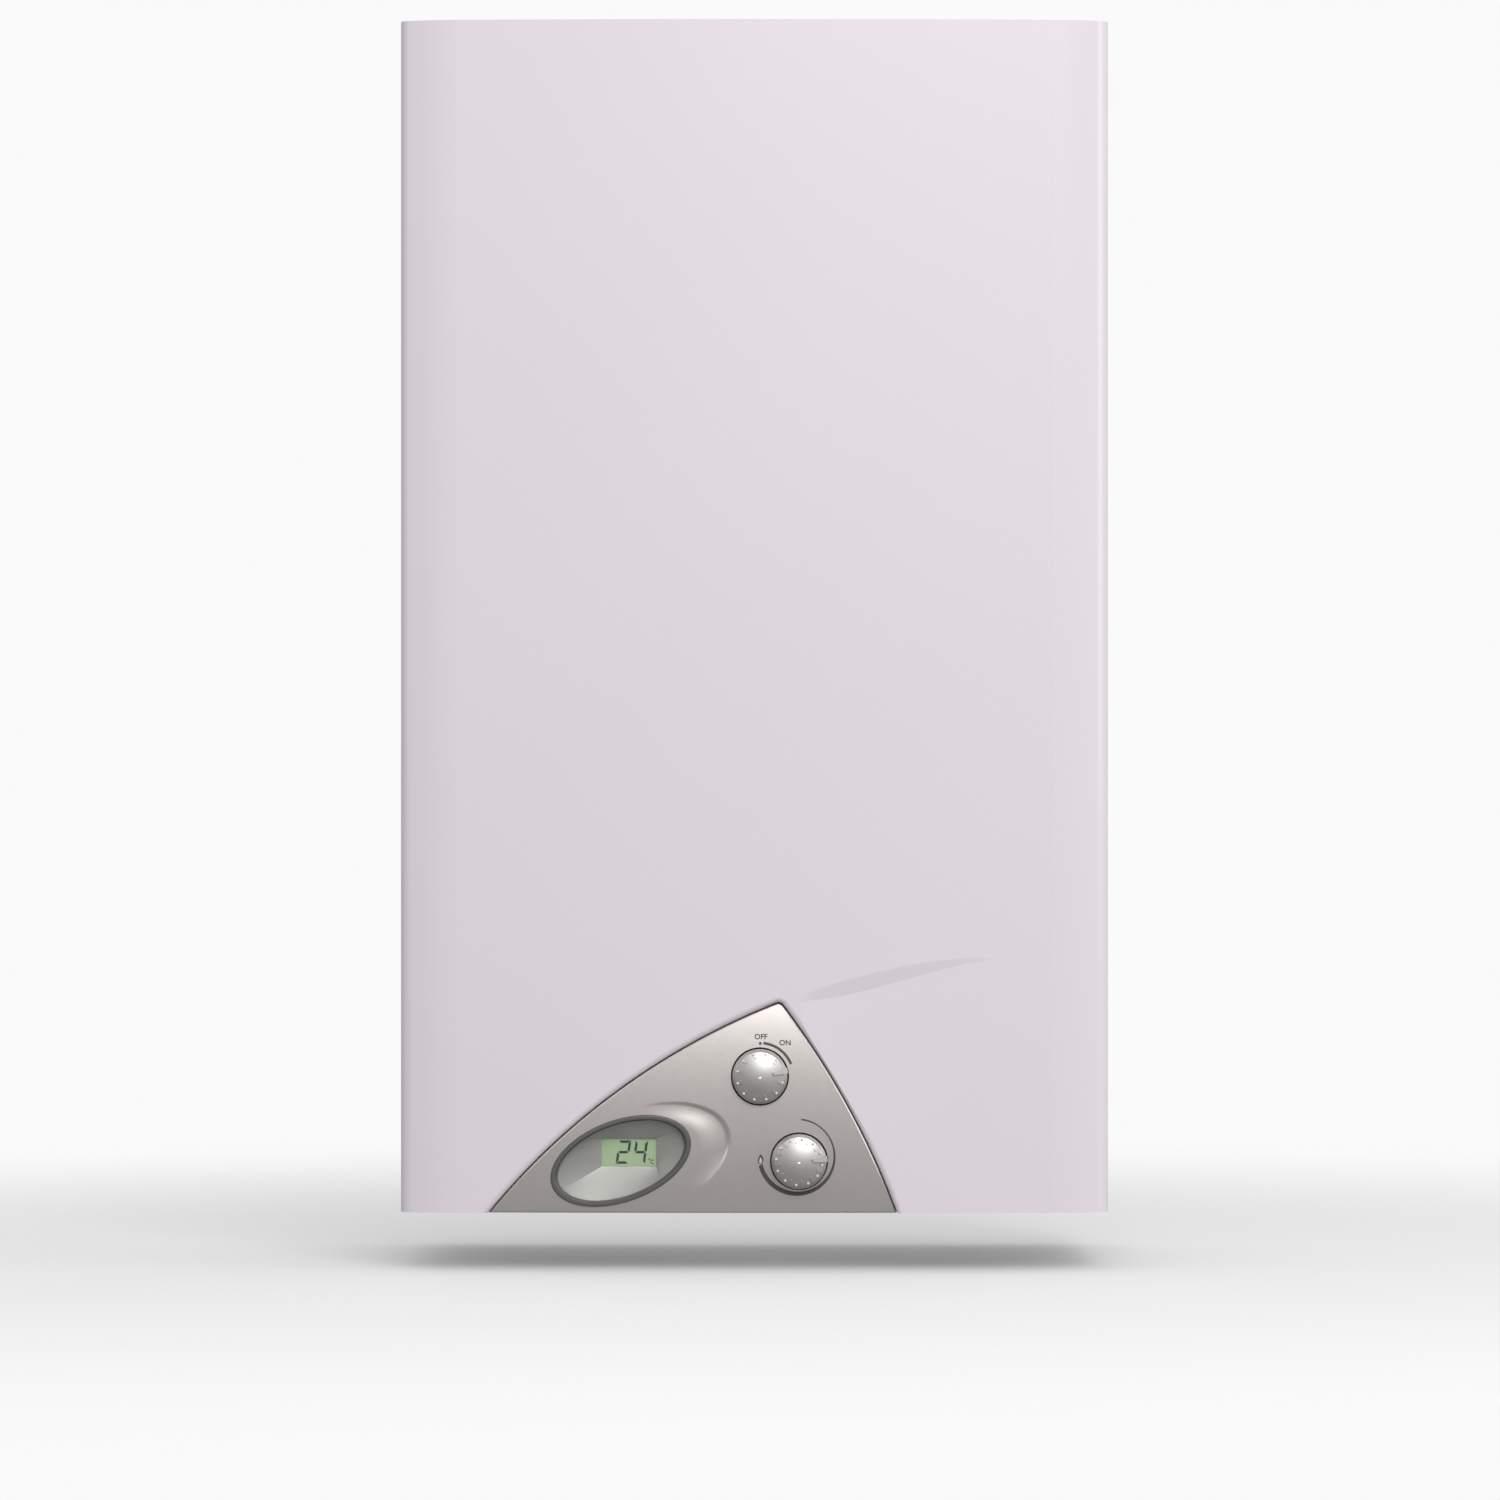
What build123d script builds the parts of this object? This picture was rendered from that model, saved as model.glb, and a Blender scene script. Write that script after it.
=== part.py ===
from build123d import *
import math
import os

os.makedirs("parts", exist_ok=True)

# Wall-hung gas water heater, in millimetres. X runs to the viewer's right, Y into the wall, Z up.
# The origin is on the wall face, halfway between the two hanging holes.

# Casing: one bowed sheet wrap, open at the back, with a folded lip round its top and bottom.
casing_width = 352.0
casing_height = 592.0
casing_depth = 205.0
hang_drop = 44.0
sheet = 1.0
wall_gap = 1.5
bow_radius = 2600.0
shoulder_radius = 70.0
shoulder_angle = 22.0
corner_radius = 9.0
top_lip = 13.0
foot_lip = 10.0

# Arched crease pressed into the casing beside the panel's tip.
crease_start = 20.0
crease_end = 128.0
crease_depth = 1.25
crease_width = 5.5
crease_floor = 22.0

# Control panel: the overlap of two large circles, cut off at the casing's lower edge.
sweep_x = 143.5
sweep_height = -227.8
sweep_radius = 357.3
flank_x = -324.1
flank_height = -148.9
flank_radius = 421.7
panel_tip_radius = 3.0
panel_gap = 0.5
panel_proud = 1.0
panel_wall = 2.5
panel_edge = 1.2
crown_radius = 330.0
crown_height = 55.0
pocket_roll = 2.5
pocket_depth = 13.0
pocket_flange = 5.0

# Knobs, the same moulding twice, each in a well in the panel.
knob_radius = 13.8
knob_height = 12.4
knob_dome = 3.0
knob_wall = 1.8
knob_marks = 12
well_gap = 0.65
well_wall = 1.8
well_floor = 2.0
well_depth = 5.9
on_off_x = 2.7
on_off_height = 67.9
on_off_rest = 14.0
flame_x = 22.1
flame_height = 25.8
flame_rest = 7.0
spindle_radius = 3.0
spindle_flat = 1.5
spindle_fit = 0.04
hub_radius = 4.8
hub_depth = 9.0

# Display: a tilted oval window that follows the panel's curve.
display_x = -66.3
display_height = 25.9
display_length = 72.6
display_breadth = 40.4
display_tilt = 20.5
rim_side = 3.4
rim_end = 2.55
rim_depth = 3.6
lens_thickness = 1.6
lens_dome_radius = 330.0
display_fit = 0.2
funnel_depth = 6.0
collar_wall = 1.8
window_x = 3.8
window_y = 3.2
window_length = 27.4
window_breadth = 14.1
glass_length = 32.0
glass_breadth = 19.0
glass_thickness = 2.4
board_length = 44.0
board_breadth = 28.0
board_thickness = 1.6

# Back frame, top cover and the fixing tabs that hold the casing.
frame_sheet = 1.2
frame_gap = 1.6
frame_flange = 26.0
frame_foot = 4.0
frame_bend = 3.0
rib_spacing = 96.0
rib_length = 330.0
rib_width = 26.0
rib_height = 4.0
hang_spacing = 200.0
hang_radius = 4.0
fix_radius = 3.25
fix_height = 48.0
cover_drop = 3.2
cover_skirt = 8.0
tab_size = 18.0
tab_low = 12.0
tab_drop = 31.0
tab_seat = 0.3

# Flue, draught hood, combustion chamber.
flue_radius = 55.5
flue_depth = 105.0
flue_wall = 1.0
collar_length = 44.0
collar_drop = 2.0
collar_flange = 9.0
hood_skirt = 16.0
chamber_width = 196.0
chamber_breadth = 130.0
chamber_low = 236.0
chamber_high = 452.0
chamber_sheet = 1.0
chamber_corner = 8.0

# Heat exchanger: four tubes through upright fins, joined by bends outside the chamber.
tube_radius = 7.0
tube_pitch = 28.0
tube_height = 425.0
tube_reach = 106.0
elbow_radius = 14.0
fin_count = 8
fin_thickness = 0.8
fin_height = 46.0
fin_breadth = 122.0
riser_x = 120.0
pipe_radius = 6.0
pipe_gap = 0.6
coil_low = 300.0
coil_high = 350.0

# Burner.
ramp_count = 10
ramp_pitch = 17.0
ramp_width = 9.0
ramp_length = 108.0
ramp_low = 200.0
ramp_height = 30.0
port_count = 7
tray_wall = 1.0
tray_height = 20.0
manifold_size = 16.0
manifold_length = 178.0
injector_length = 9.0

# Gas valve and water valve.
valve_left = -18.0
valve_right = 46.0
valve_front = 150.0
valve_back = 92.0
valve_low = 8.0
valve_high = 96.0
rod_height = 62.0
rod_depth = 108.0
rod_radius = 2.0
poppet_radius = 8.5
poppet_bore = 11.0
poppet_seat = 24.0
spring_radius = 5.6
spring_wire = 0.6
spring_turns = 5
solenoid_height = 34.0
solenoid_depth = 121.0
solenoid_radius = 13.0
solenoid_length = 34.0
plunger_radius = 4.0
plunger_travel = 2.5
gland_thickness = 3.0
diaphragm_radius = 37.0
diaphragm_thickness = 1.5
bowl_radius = 25.0
yoke_left = 58.3
bowl_left = 79.0
bowl_width = 8.0
cover_width = 18.0

# Connections at the foot: half-inch threads.
thread_radius = 10.48
nipple_bore = 7.5
nipple_length = 14.0
nipple_foot = 2.0
pipe_depth = 60.0
hot_x = -100.0
gas_x = 14.0
cold_x = 100.0
plate_height = 17.0
plate_sheet = 1.5
nut_radius = 11.5
nut_height = 11.0

# Cells and electronics.
cell_radius = 16.75
cell_length = 60.0
cell_pitch = 35.5
cell_inset = 51.0
cell_depth = 131.0
battery_wall = 2.0
battery_foot = 5.0
door_thickness = 2.0
door_gap = 0.5
module_depth = 64.0
module_height = 84.0
module_side = 7.0
module_gap = 1.0
module_back = 20.0
module_socket = 6.0
module_low = 112.0
lead_radius = 1.3

foot = hang_drop - casing_height
head = foot + casing_height
front = -casing_depth
slack = 5.0
frame_half = casing_width / 2 - sheet - frame_gap
frame_top = casing_height - cover_drop - sheet
tab_high = casing_height - tab_drop
tab_front = frame_flange + tab_size + 4
cell_x = cell_inset - casing_width / 2
module_left = module_side - casing_width / 2
module_right = -riser_x - pipe_radius - module_gap
module_x = (module_left + module_right) / 2
module_front = module_back + module_depth
socket_depth = module_front + module_socket


# Height above the casing's lower edge, as a Z value.
def level(height):
    return foot + height


# How far a shallow arc has fallen away from its crown.
def sag(radius, distance):
    return radius - math.sqrt(radius ** 2 - distance ** 2)


# Y of the panel's crowned face.
def panel_face(x, height):
    return front - panel_proud + sag(bow_radius, x) + sag(crown_radius, height - crown_height)


# Height of the sweep arc above the casing's lower edge.
def sweep_line(x):
    return sweep_height + math.sqrt(sweep_radius ** 2 - (x - sweep_x) ** 2)


# The casing's plan, drawn in from its outside by the inset, raised between two levels.
def casing_block(inset, low, high, back):
    turn = math.sin(math.radians(shoulder_angle))
    flat = casing_width / 2 - corner_radius * (1 - turn) - shoulder_radius * turn
    bow_angle = math.degrees(math.asin(flat / (bow_radius - shoulder_radius)))
    with BuildPart() as block:
        with BuildSketch(Plane.XY.offset(low)):
            with BuildLine():
                bow = JernArc((0, front + inset), (1, 0), bow_radius - inset, bow_angle)
                shoulder = JernArc(bow @ 1, bow % 1, shoulder_radius - inset, shoulder_angle - bow_angle)
                corner = JernArc(shoulder @ 1, shoulder % 1, corner_radius - inset, 90 - shoulder_angle)
                side = Line(corner @ 1, ((corner @ 1).X, back))
                Line(side @ 1, (0, back))
                mirror(about=Plane.YZ)
            make_face()
        extrude(amount=high - low)
    return block.part


# The panel's outline as a prism. Growing it leaves the gap and the sheet of the pocket round it.
def panel_block(grow, near, far, low):
    with BuildPart() as block:
        with BuildSketch(Plane.XZ.offset(near)) as outline:
            with Locations((sweep_x, level(sweep_height))):
                Circle(sweep_radius + grow)
            with Locations((flank_x, level(flank_height))):
                Circle(flank_radius + grow, mode=Mode.INTERSECT)
            with Locations((0, low)):
                Rectangle(casing_width, casing_height, align=(Align.CENTER, Align.MIN), mode=Mode.INTERSECT)
            fillet(outline.vertices().sort_by(Axis.Y)[-1], max(panel_tip_radius + grow, 1))
        extrude(amount=far - near)
    return block.part


# The body whose near side is the panel's crowned face.
def crown_block(inset):
    with BuildPart() as block:
        with Locations((0, front - panel_proud + bow_radius, level(crown_height))):
            Torus(bow_radius - crown_radius, crown_radius - inset)
    return block.part


# The shallow hollow under the crease: a steep upper wall and a long fall back to the surface.
def crease_block():
    with BuildPart() as block:
        for share in (-0.15, 0.0, 0.12, 0.3, 0.5, 0.7, 0.86, 1.0, 1.12):
            x = crease_start + share * (crease_end - crease_start)
            rise = 6.75 * share * (1 - share) ** 2 if 0 < share < 1 else -0.25
            face = front + sag(bow_radius, x)
            upper = level(sweep_line(x))
            wall = upper - 2.5 - crease_width * max(rise, 0)
            with BuildSketch(Plane.YZ.offset(x)):
                with BuildLine():
                    Polyline(
                        (face - 0.2, upper + 1),
                        (face + crease_depth * rise, wall),
                        (face - 0.25, level(crease_floor)),
                        (face - slack, level(crease_floor)),
                        (face - slack, upper + 1),
                        close=True,
                    )
                make_face()
        loft()
    return block.part


crease = crease_block()

# A plane that looks at the viewer, turned by an angle about its own axis.
def facing_plane(x, y, height, angle=0):
    turn = math.radians(angle)
    return Plane(origin=(x, y, level(height)), x_dir=(math.cos(turn), 0, math.sin(turn)), z_dir=(0, -1, 0))


# An upright round bar between two levels.
def bar(x, depth, low, high, radius):
    with BuildPart() as piece:
        with BuildSketch(Plane.XY.offset(level(low))):
            with Locations((x, -depth)):
                Circle(radius)
        extrude(amount=high - low)
    return piece.part


# A round bar that points at the viewer, from a far depth to a near one.
def axle(x, height, far, near, radius):
    with BuildPart() as piece:
        with BuildSketch(facing_plane(x, -far, height)):
            Circle(radius)
        extrude(amount=near - far)
    return piece.part


# A round bar along X at the push rod's height and depth, or at another.
def rod(left, right, radius, height=rod_height, depth=rod_depth):
    with BuildPart() as piece:
        with BuildSketch(Plane(origin=(left, -depth, level(height)), x_dir=(0, 1, 0), z_dir=(1, 0, 0))):
            Circle(radius)
        extrude(amount=right - left)
    return piece.part


# A block between two corners, with its upright edges rounded.
def slab(left, right, far, near, low, high, corner=0.0):
    with BuildPart() as piece:
        with BuildSketch(Plane.XY.offset(level(low))):
            with Locations(((left + right) / 2, -(far + near) / 2)):
                if corner:
                    RectangleRounded(right - left, abs(near - far), corner)
                else:
                    Rectangle(right - left, abs(near - far))
        extrude(amount=high - low)
    return piece.part


# A pipe or lead bent round through its points.
def bent(points, radius, bend):
    with BuildPart() as piece:
        with BuildLine() as route:
            FilletPolyline(*[(x, -depth, level(height)) for x, depth, height in points], radius=bend)
        with BuildSketch(Plane(origin=route.wire() @ 0, z_dir=route.wire() % 0)):
            Circle(radius)
        sweep()
    return piece.part


# The rolled edge of the pocket: what a cut has just left on the casing's face, above its foot.
def pocket_edges(block):
    return block.edges(Select.LAST).filter_by(
        lambda edge: edge.center().Y < front + 10 and edge.center().Z > foot + 2
    )


# Front casing
with BuildPart() as front_casing:
    add(casing_block(0, foot, head, -wall_gap))
    add(panel_block(panel_gap, wall_gap, casing_depth + slack, foot - slack), mode=Mode.SUBTRACT)
    fillet(pocket_edges(front_casing), pocket_roll)
    add(crease, mode=Mode.SUBTRACT)
    with BuildPart(mode=Mode.PRIVATE) as hollow:
        add(casing_block(sheet, foot + sheet, head - sheet, 0))
        add(
            panel_block(panel_gap + sheet, casing_depth - pocket_depth, casing_depth + slack, foot - slack),
            mode=Mode.SUBTRACT,
        )
        fillet(pocket_edges(hollow), pocket_roll - sheet)
        add(crease.moved(Location((0, sheet, 0))), mode=Mode.SUBTRACT)
    add(hollow.part, mode=Mode.SUBTRACT)
    add(casing_block(top_lip, head - 2 * sheet, head + slack, 0), mode=Mode.SUBTRACT)
    add(casing_block(foot_lip, foot - slack, foot + 2 * sheet, 0), mode=Mode.SUBTRACT)
    # A flange runs round the pocket behind the panel's skirt and takes its screws.
    pocket_back = casing_depth - pocket_depth
    add(panel_block(panel_gap + sheet / 2, pocket_back - sheet, pocket_back, foot))
    add(
        panel_block(-pocket_flange, pocket_back - 2 * sheet, pocket_back + sheet, foot + 2 * sheet),
        mode=Mode.SUBTRACT,
    )
    # Four tabs hang on the back frame's and are screwed to them.
    for side in (-1, 1):
        left, right = sorted((side * (frame_half - tab_size), side * (casing_width / 2 - sheet / 2)))
        for height in (tab_low, tab_high):
            add(slab(left, right, frame_flange + 4, tab_front, height, height + sheet))
front_casing.part.label = "front_casing"
export_step(front_casing.part, "parts/front_casing.step")


# Where each knob turns: its height, and the angle of its pointer above the viewer's right.
knob_places = ((on_off_x, on_off_height, on_off_rest), (flame_x, flame_height, flame_rest))
well_radius = knob_radius + well_gap
well_front = front - panel_proud + well_depth
panel_back = casing_depth - pocket_depth + tab_seat


# The display lies in the plane that touches the panel's face at its middle.
lean_x = display_x / bow_radius
lean_z = (display_height - crown_height) / crown_radius
display_plane = Plane(
    origin=(display_x, panel_face(display_x, display_height), level(display_height)),
    x_dir=(1, lean_x, 0),
    z_dir=(lean_x, -1, lean_z),
)


# An oval of the display, drawn in from the rim's outside, raised between two depths in its plane.
def display_oval(inset_end, inset_side, low, high):
    with BuildPart() as block:
        with BuildSketch(display_plane.offset(low)):
            Ellipse(
                display_length / 2 - inset_end,
                display_breadth / 2 - inset_side,
                rotation=display_tilt,
            )
        extrude(amount=high - low)
    return block.part


# A rectangle square to the LCD window, raised between two depths in the display's plane.
def display_slab(length, breadth, low, high, corner=1.0):
    with BuildPart() as block:
        with BuildSketch(display_plane.offset(low)):
            with Locations((window_x, window_y)):
                RectangleRounded(length, breadth, corner)
        extrude(amount=high - low)
    return block.part


# Control panel
with BuildPart() as control_panel:
    add(panel_block(0, panel_back, casing_depth + slack, foot))
    add(crown_block(0), mode=Mode.INTERSECT)
    fillet(
        control_panel.edges().filter_by(lambda edge: edge.center().Y < front + 6 and edge.length > 1),
        panel_edge,
    )
    with BuildPart(mode=Mode.PRIVATE) as panel_hollow:
        add(panel_block(-panel_wall, panel_back - slack, casing_depth + slack, foot + panel_wall))
        add(crown_block(panel_wall), mode=Mode.INTERSECT)
    add(panel_hollow.part, mode=Mode.SUBTRACT)
    # The wells and the display's collar stand behind the skin and stop at the crown.
    with BuildPart(mode=Mode.PRIVATE) as backing:
        for x, height, angle in knob_places:
            with BuildSketch(facing_plane(x, well_front + well_floor, height)):
                Circle(well_radius + well_wall)
            extrude(amount=well_depth + well_floor + slack)
        collar_inset = display_fit + collar_wall
        add(display_oval(-collar_inset, -collar_inset, -rim_depth - funnel_depth, slack))
        add(crown_block(panel_wall / 2), mode=Mode.INTERSECT)
        add(panel_block(-panel_wall / 2, panel_back, casing_depth + slack, foot + panel_wall / 2),
            mode=Mode.INTERSECT)
    add(backing.part)
    for x, height, angle in knob_places:
        with BuildSketch(facing_plane(x, well_front, height)):
            Circle(well_radius)
        extrude(amount=well_depth + slack, mode=Mode.SUBTRACT)
        with BuildSketch(facing_plane(x, well_front + well_floor + 1, height)):
            Circle(spindle_radius + 1.5)
        extrude(amount=well_floor + 2, mode=Mode.SUBTRACT)
    collar_foot_depth = rim_depth + funnel_depth + slack
    add(display_oval(-display_fit, -display_fit, -collar_foot_depth, slack), mode=Mode.SUBTRACT)
control_panel.part.label = "control_panel"
export_step(control_panel.part, "parts/control_panel.step")

# Display rim: the dark ring, chamfered down to the lens, which it holds from the front
with BuildPart() as display_rim:
    add(display_oval(0, 0, -rim_depth, 0.4))
    fillet(display_rim.edges().filter_by(GeomType.ELLIPSE).sort_by(Axis.Y)[0], 0.6)
    with BuildSketch(display_plane.offset(1)):
        Ellipse(display_length / 2 - rim_end + 1, display_breadth / 2 - rim_side + 2, rotation=display_tilt)
    with BuildSketch(display_plane.offset(-1.6)):
        Ellipse(display_length / 2 - rim_side, display_breadth / 2 - rim_end, rotation=display_tilt)
    loft(ruled=True, mode=Mode.SUBTRACT)
    add(display_oval(rim_side, rim_end, -rim_depth - 1, 0), mode=Mode.SUBTRACT)
    add(display_oval(rim_side / 2, rim_end / 2, -rim_depth - 1, 0.3 - rim_depth + lens_thickness),
        mode=Mode.SUBTRACT)
display_rim.part.label = "display_rim"
export_step(display_rim.part, "parts/display_rim.step")

# Display lens: a clear oval, gently domed, whose edge sits in the rim's rebate
with BuildPart() as display_lens:
    seat = display_fit
    add(display_oval(rim_side / 2 + seat, rim_end / 2 + seat, -rim_depth, -rim_depth + lens_thickness))
    add(display_oval(rim_side + seat, rim_end + seat, -rim_depth, slack))
    with BuildPart(mode=Mode.PRIVATE) as dome:
        with Locations(display_plane.offset(-0.4 - lens_dome_radius).origin):
            Sphere(lens_dome_radius)
    add(dome.part, mode=Mode.INTERSECT)
display_lens.part.label = "display_lens"
export_step(display_lens.part, "parts/display_lens.step")

# Reflector behind the lens, lofted from the oval down to the LCD window
reflector_face = -rim_depth - 0.3
reflector_back = reflector_face - funnel_depth
with BuildPart() as display_reflector:
    add(display_oval(display_fit, display_fit, reflector_back, reflector_face))
    with BuildSketch(display_plane.offset(reflector_face)):
        Ellipse(display_length / 2 - rim_side, display_breadth / 2 - rim_end, rotation=display_tilt)
    with BuildSketch(display_plane.offset(reflector_back + 1)):
        with Locations((window_x, window_y)):
            Rectangle(window_length, window_breadth)
    loft(mode=Mode.SUBTRACT)
    add(display_slab(window_length, window_breadth, reflector_back - 1, reflector_back + 2, 0.5),
        mode=Mode.SUBTRACT)
    # Two posts carry the board behind the glass.
    for side in (-1, 1):
        with BuildSketch(display_plane.offset(reflector_back)):
            with Locations((window_x + side * (board_length / 2 - 2.5), window_y)):
                Circle(2)
        extrude(amount=-glass_thickness - 3.4)
display_reflector.part.label = "display_reflector"
export_step(display_reflector.part, "parts/display_reflector.step")

glass_face = reflector_back - 0.3
board_face = reflector_back - glass_thickness - 3.7
with BuildPart() as lcd_glass:
    add(display_slab(glass_length, glass_breadth, glass_face - glass_thickness, glass_face, 0.4))
lcd_glass.part.label = "lcd_glass"
export_step(lcd_glass.part, "parts/lcd_glass.step")

with BuildPart() as lcd_board:
    add(display_slab(board_length, board_breadth, board_face - board_thickness, board_face, 1.5))
    # The contact strip stands up to the glass, and a plug socket hangs on the back.
    add(display_slab(window_length, 3, board_face, glass_face - glass_thickness - 0.3, 0.5))
    add(display_slab(12, 6, board_face - board_thickness - 5, board_face - board_thickness, 0.5))
lcd_board.part.label = "lcd_board"
export_step(lcd_board.part, "parts/lcd_board.step")


# The knob's turned body, lying on its back: a dome whose rise above the real face can be set.
def knob_body(rise):
    with BuildPart() as body:
        with BuildSketch(Plane.XZ):
            with BuildLine():
                shoulder = knob_height - knob_dome - 1 + rise
                edge = Polyline((0, 0), (knob_radius, 0), (knob_radius - 0.3, shoulder))
                chamfered = Line(edge @ 1, (knob_radius - 1.6, knob_height - knob_dome + 0.6 + rise))
                reach = knob_radius - 1.6
                fall = knob_dome - 0.6
                dome_radius = (reach ** 2 + fall ** 2) / (2 * fall)
                ThreePointArc(
                    chamfered @ 1,
                    (reach / 2, knob_height + rise - sag(dome_radius, reach / 2)),
                    (0, knob_height + rise),
                )
                Line((0, knob_height + rise), (0, 0))
            make_face()
        revolve(axis=Axis.Z)
    return body.part


# Knob: a domed cap with a mark at each twelfth of a turn, one of them the long pointer
def knob_form():
    with BuildPart() as knob:
        add(knob_body(0))
        with BuildPart(mode=Mode.PRIVATE) as marks:
            with BuildSketch(Plane.XY.offset(knob_height - knob_dome - 2)):
                with PolarLocations(0, knob_marks):
                    with Locations((knob_radius * 0.83, 0)):
                        SlotOverall(knob_radius * 0.26, 1.5)
            extrude(amount=knob_dome + slack)
            add(knob_body(0.6), mode=Mode.INTERSECT)
        add(marks.part)
        with BuildPart(mode=Mode.PRIVATE) as pointer:
            with BuildSketch(Plane.XY.offset(well_depth + 1)):
                with BuildLine():
                    Polyline(
                        (knob_radius * 0.5, -0.7),
                        (knob_radius * 1.02, -1.5),
                        (knob_radius * 1.02, 1.5),
                        (knob_radius * 0.5, 0.7),
                        close=True,
                    )
                make_face()
            extrude(amount=knob_dome + 2 * slack)
            with BuildSketch(Plane.XZ.offset(-slack)):
                with BuildLine():
                    Polyline(
                        (0, 0),
                        (knob_radius * 1.1, 0),
                        (knob_radius * 1.1, knob_height - 0.9),
                        (knob_radius * 0.5, knob_height + 0.9),
                        (0, knob_height),
                        close=True,
                    )
                make_face()
            extrude(amount=2 * slack, mode=Mode.INTERSECT)
        add(pointer.part)
        # Hollow back with a hub, four webs and a D-shaped bore.
        with BuildSketch():
            Circle(knob_radius - knob_wall - 0.3)
            Circle(hub_radius, mode=Mode.SUBTRACT)
            with GridLocations(0, 0, 1, 1):
                Rectangle(2 * knob_radius, 1.2, mode=Mode.SUBTRACT)
                Rectangle(1.2, 2 * knob_radius, mode=Mode.SUBTRACT)
        extrude(amount=knob_height - knob_dome - 2, mode=Mode.SUBTRACT)
        with BuildSketch():
            Circle(spindle_radius + spindle_fit)
            with Locations((spindle_flat + spindle_fit, 0)):
                Rectangle(
                    2 * spindle_radius,
                    3 * spindle_radius,
                    align=(Align.MIN, Align.CENTER),
                    mode=Mode.SUBTRACT,
                )
        extrude(amount=hub_depth, mode=Mode.SUBTRACT)
    return knob.part


knob_back = well_front - 0.3
knob = knob_form()

with BuildPart() as on_off_knob:
    add(knob.moved(facing_plane(on_off_x, knob_back, on_off_height, on_off_rest).location))
on_off_knob.part.label = "on_off_knob"
export_step(on_off_knob.part, "parts/on_off_knob.step")

with BuildPart() as flame_knob:
    add(knob.moved(facing_plane(flame_x, knob_back, flame_height, flame_rest).location))
flame_knob.part.label = "flame_knob"
export_step(flame_knob.part, "parts/flame_knob.step")


# Back frame: a folded tray with two pressed ribs, its fixing holes and the casing's tabs
with BuildPart() as back_frame:
    add(slab(-frame_half, frame_half, 0, frame_flange, frame_foot, frame_top))
    fillet(back_frame.edges().filter_by(Axis.Z).group_by(Axis.Y)[-1], frame_bend)
    with BuildPart(mode=Mode.PRIVATE) as tray:
        add(slab(-frame_half + frame_sheet, frame_half - frame_sheet, frame_sheet, frame_flange + 1,
                 frame_foot - 1, frame_top - frame_sheet))
        fillet(tray.edges().filter_by(Axis.Z).group_by(Axis.Y)[-1], frame_bend - frame_sheet)
    add(tray.part, mode=Mode.SUBTRACT)
    for side in (-1, 1):
        for thickness, mode in ((frame_sheet, Mode.ADD), (0, Mode.SUBTRACT)):
            with BuildSketch(Plane.XZ.offset(0)):
                with Locations((side * rib_spacing / 2, level(casing_height / 2))):
                    SlotOverall(rib_length + 2 * thickness, rib_width + 2 * thickness, rotation=90)
            extrude(amount=rib_height + thickness, taper=30, mode=mode)
        for height, lift in ((tab_low, sheet + tab_seat), (tab_high, -frame_sheet - tab_seat)):
            inside = side * (frame_half - tab_size)
            left, right = sorted((inside, side * frame_half))
            add(slab(left, right, frame_flange - 2, tab_front, height + lift, height + lift + frame_sheet))
    with BuildSketch(Plane.XZ):
        with Locations((0, 0)):
            with GridLocations(hang_spacing, 1, 2, 1):
                Circle(hang_radius)
        with Locations((0, level(fix_height))):
            with GridLocations(hang_spacing, 1, 2, 1):
                Circle(fix_radius)
    extrude(amount=frame_sheet, mode=Mode.SUBTRACT)
back_frame.part.label = "back_frame"
export_step(back_frame.part, "parts/back_frame.step")

# Top cover: a shallow lid round the flue, slotted to let warm air out
cover_top = casing_height - cover_drop
collar_foot = casing_height - collar_drop - collar_length
with BuildPart() as top_cover:
    inset = sheet + tab_seat
    add(casing_block(inset, level(cover_top - cover_skirt), level(cover_top), -wall_gap))
    add(casing_block(inset + sheet, level(cover_top - cover_skirt - 1), level(cover_top - sheet), 0),
        mode=Mode.SUBTRACT)
    with BuildSketch(Plane.XY.offset(level(cover_top + 1))):
        with Locations((0, -flue_depth)):
            Circle(flue_radius + flue_wall + 2)
        for side in (-1, 1):
            with Locations((side * casing_width * 0.33, -flue_depth)):
                with GridLocations(14, 1, 4, 1):
                    SlotOverall(90, 5, rotation=90)
    extrude(amount=-2 * sheet - 1, mode=Mode.SUBTRACT)
top_cover.part.label = "top_cover"
export_step(top_cover.part, "parts/top_cover.step")

# Flue collar, riveted by its flange to the hood
with BuildPart() as flue_collar:
    add(bar(0, flue_depth, collar_foot, collar_foot + flue_wall, flue_radius + collar_flange))
    add(bar(0, flue_depth, collar_foot, collar_foot + collar_length, flue_radius + flue_wall))
    add(bar(0, flue_depth, collar_foot - 1, collar_foot + collar_length + 1, flue_radius), mode=Mode.SUBTRACT)
flue_collar.part.label = "flue_collar"
export_step(flue_collar.part, "parts/flue_collar.step")

# Draught hood: a funnel from the chamber to the flue, with relief slots at its sides
hood_low = chamber_high + 0.2
hood_half = chamber_width / 2 + 6
hood_deep = chamber_breadth / 2 + 6


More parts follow.
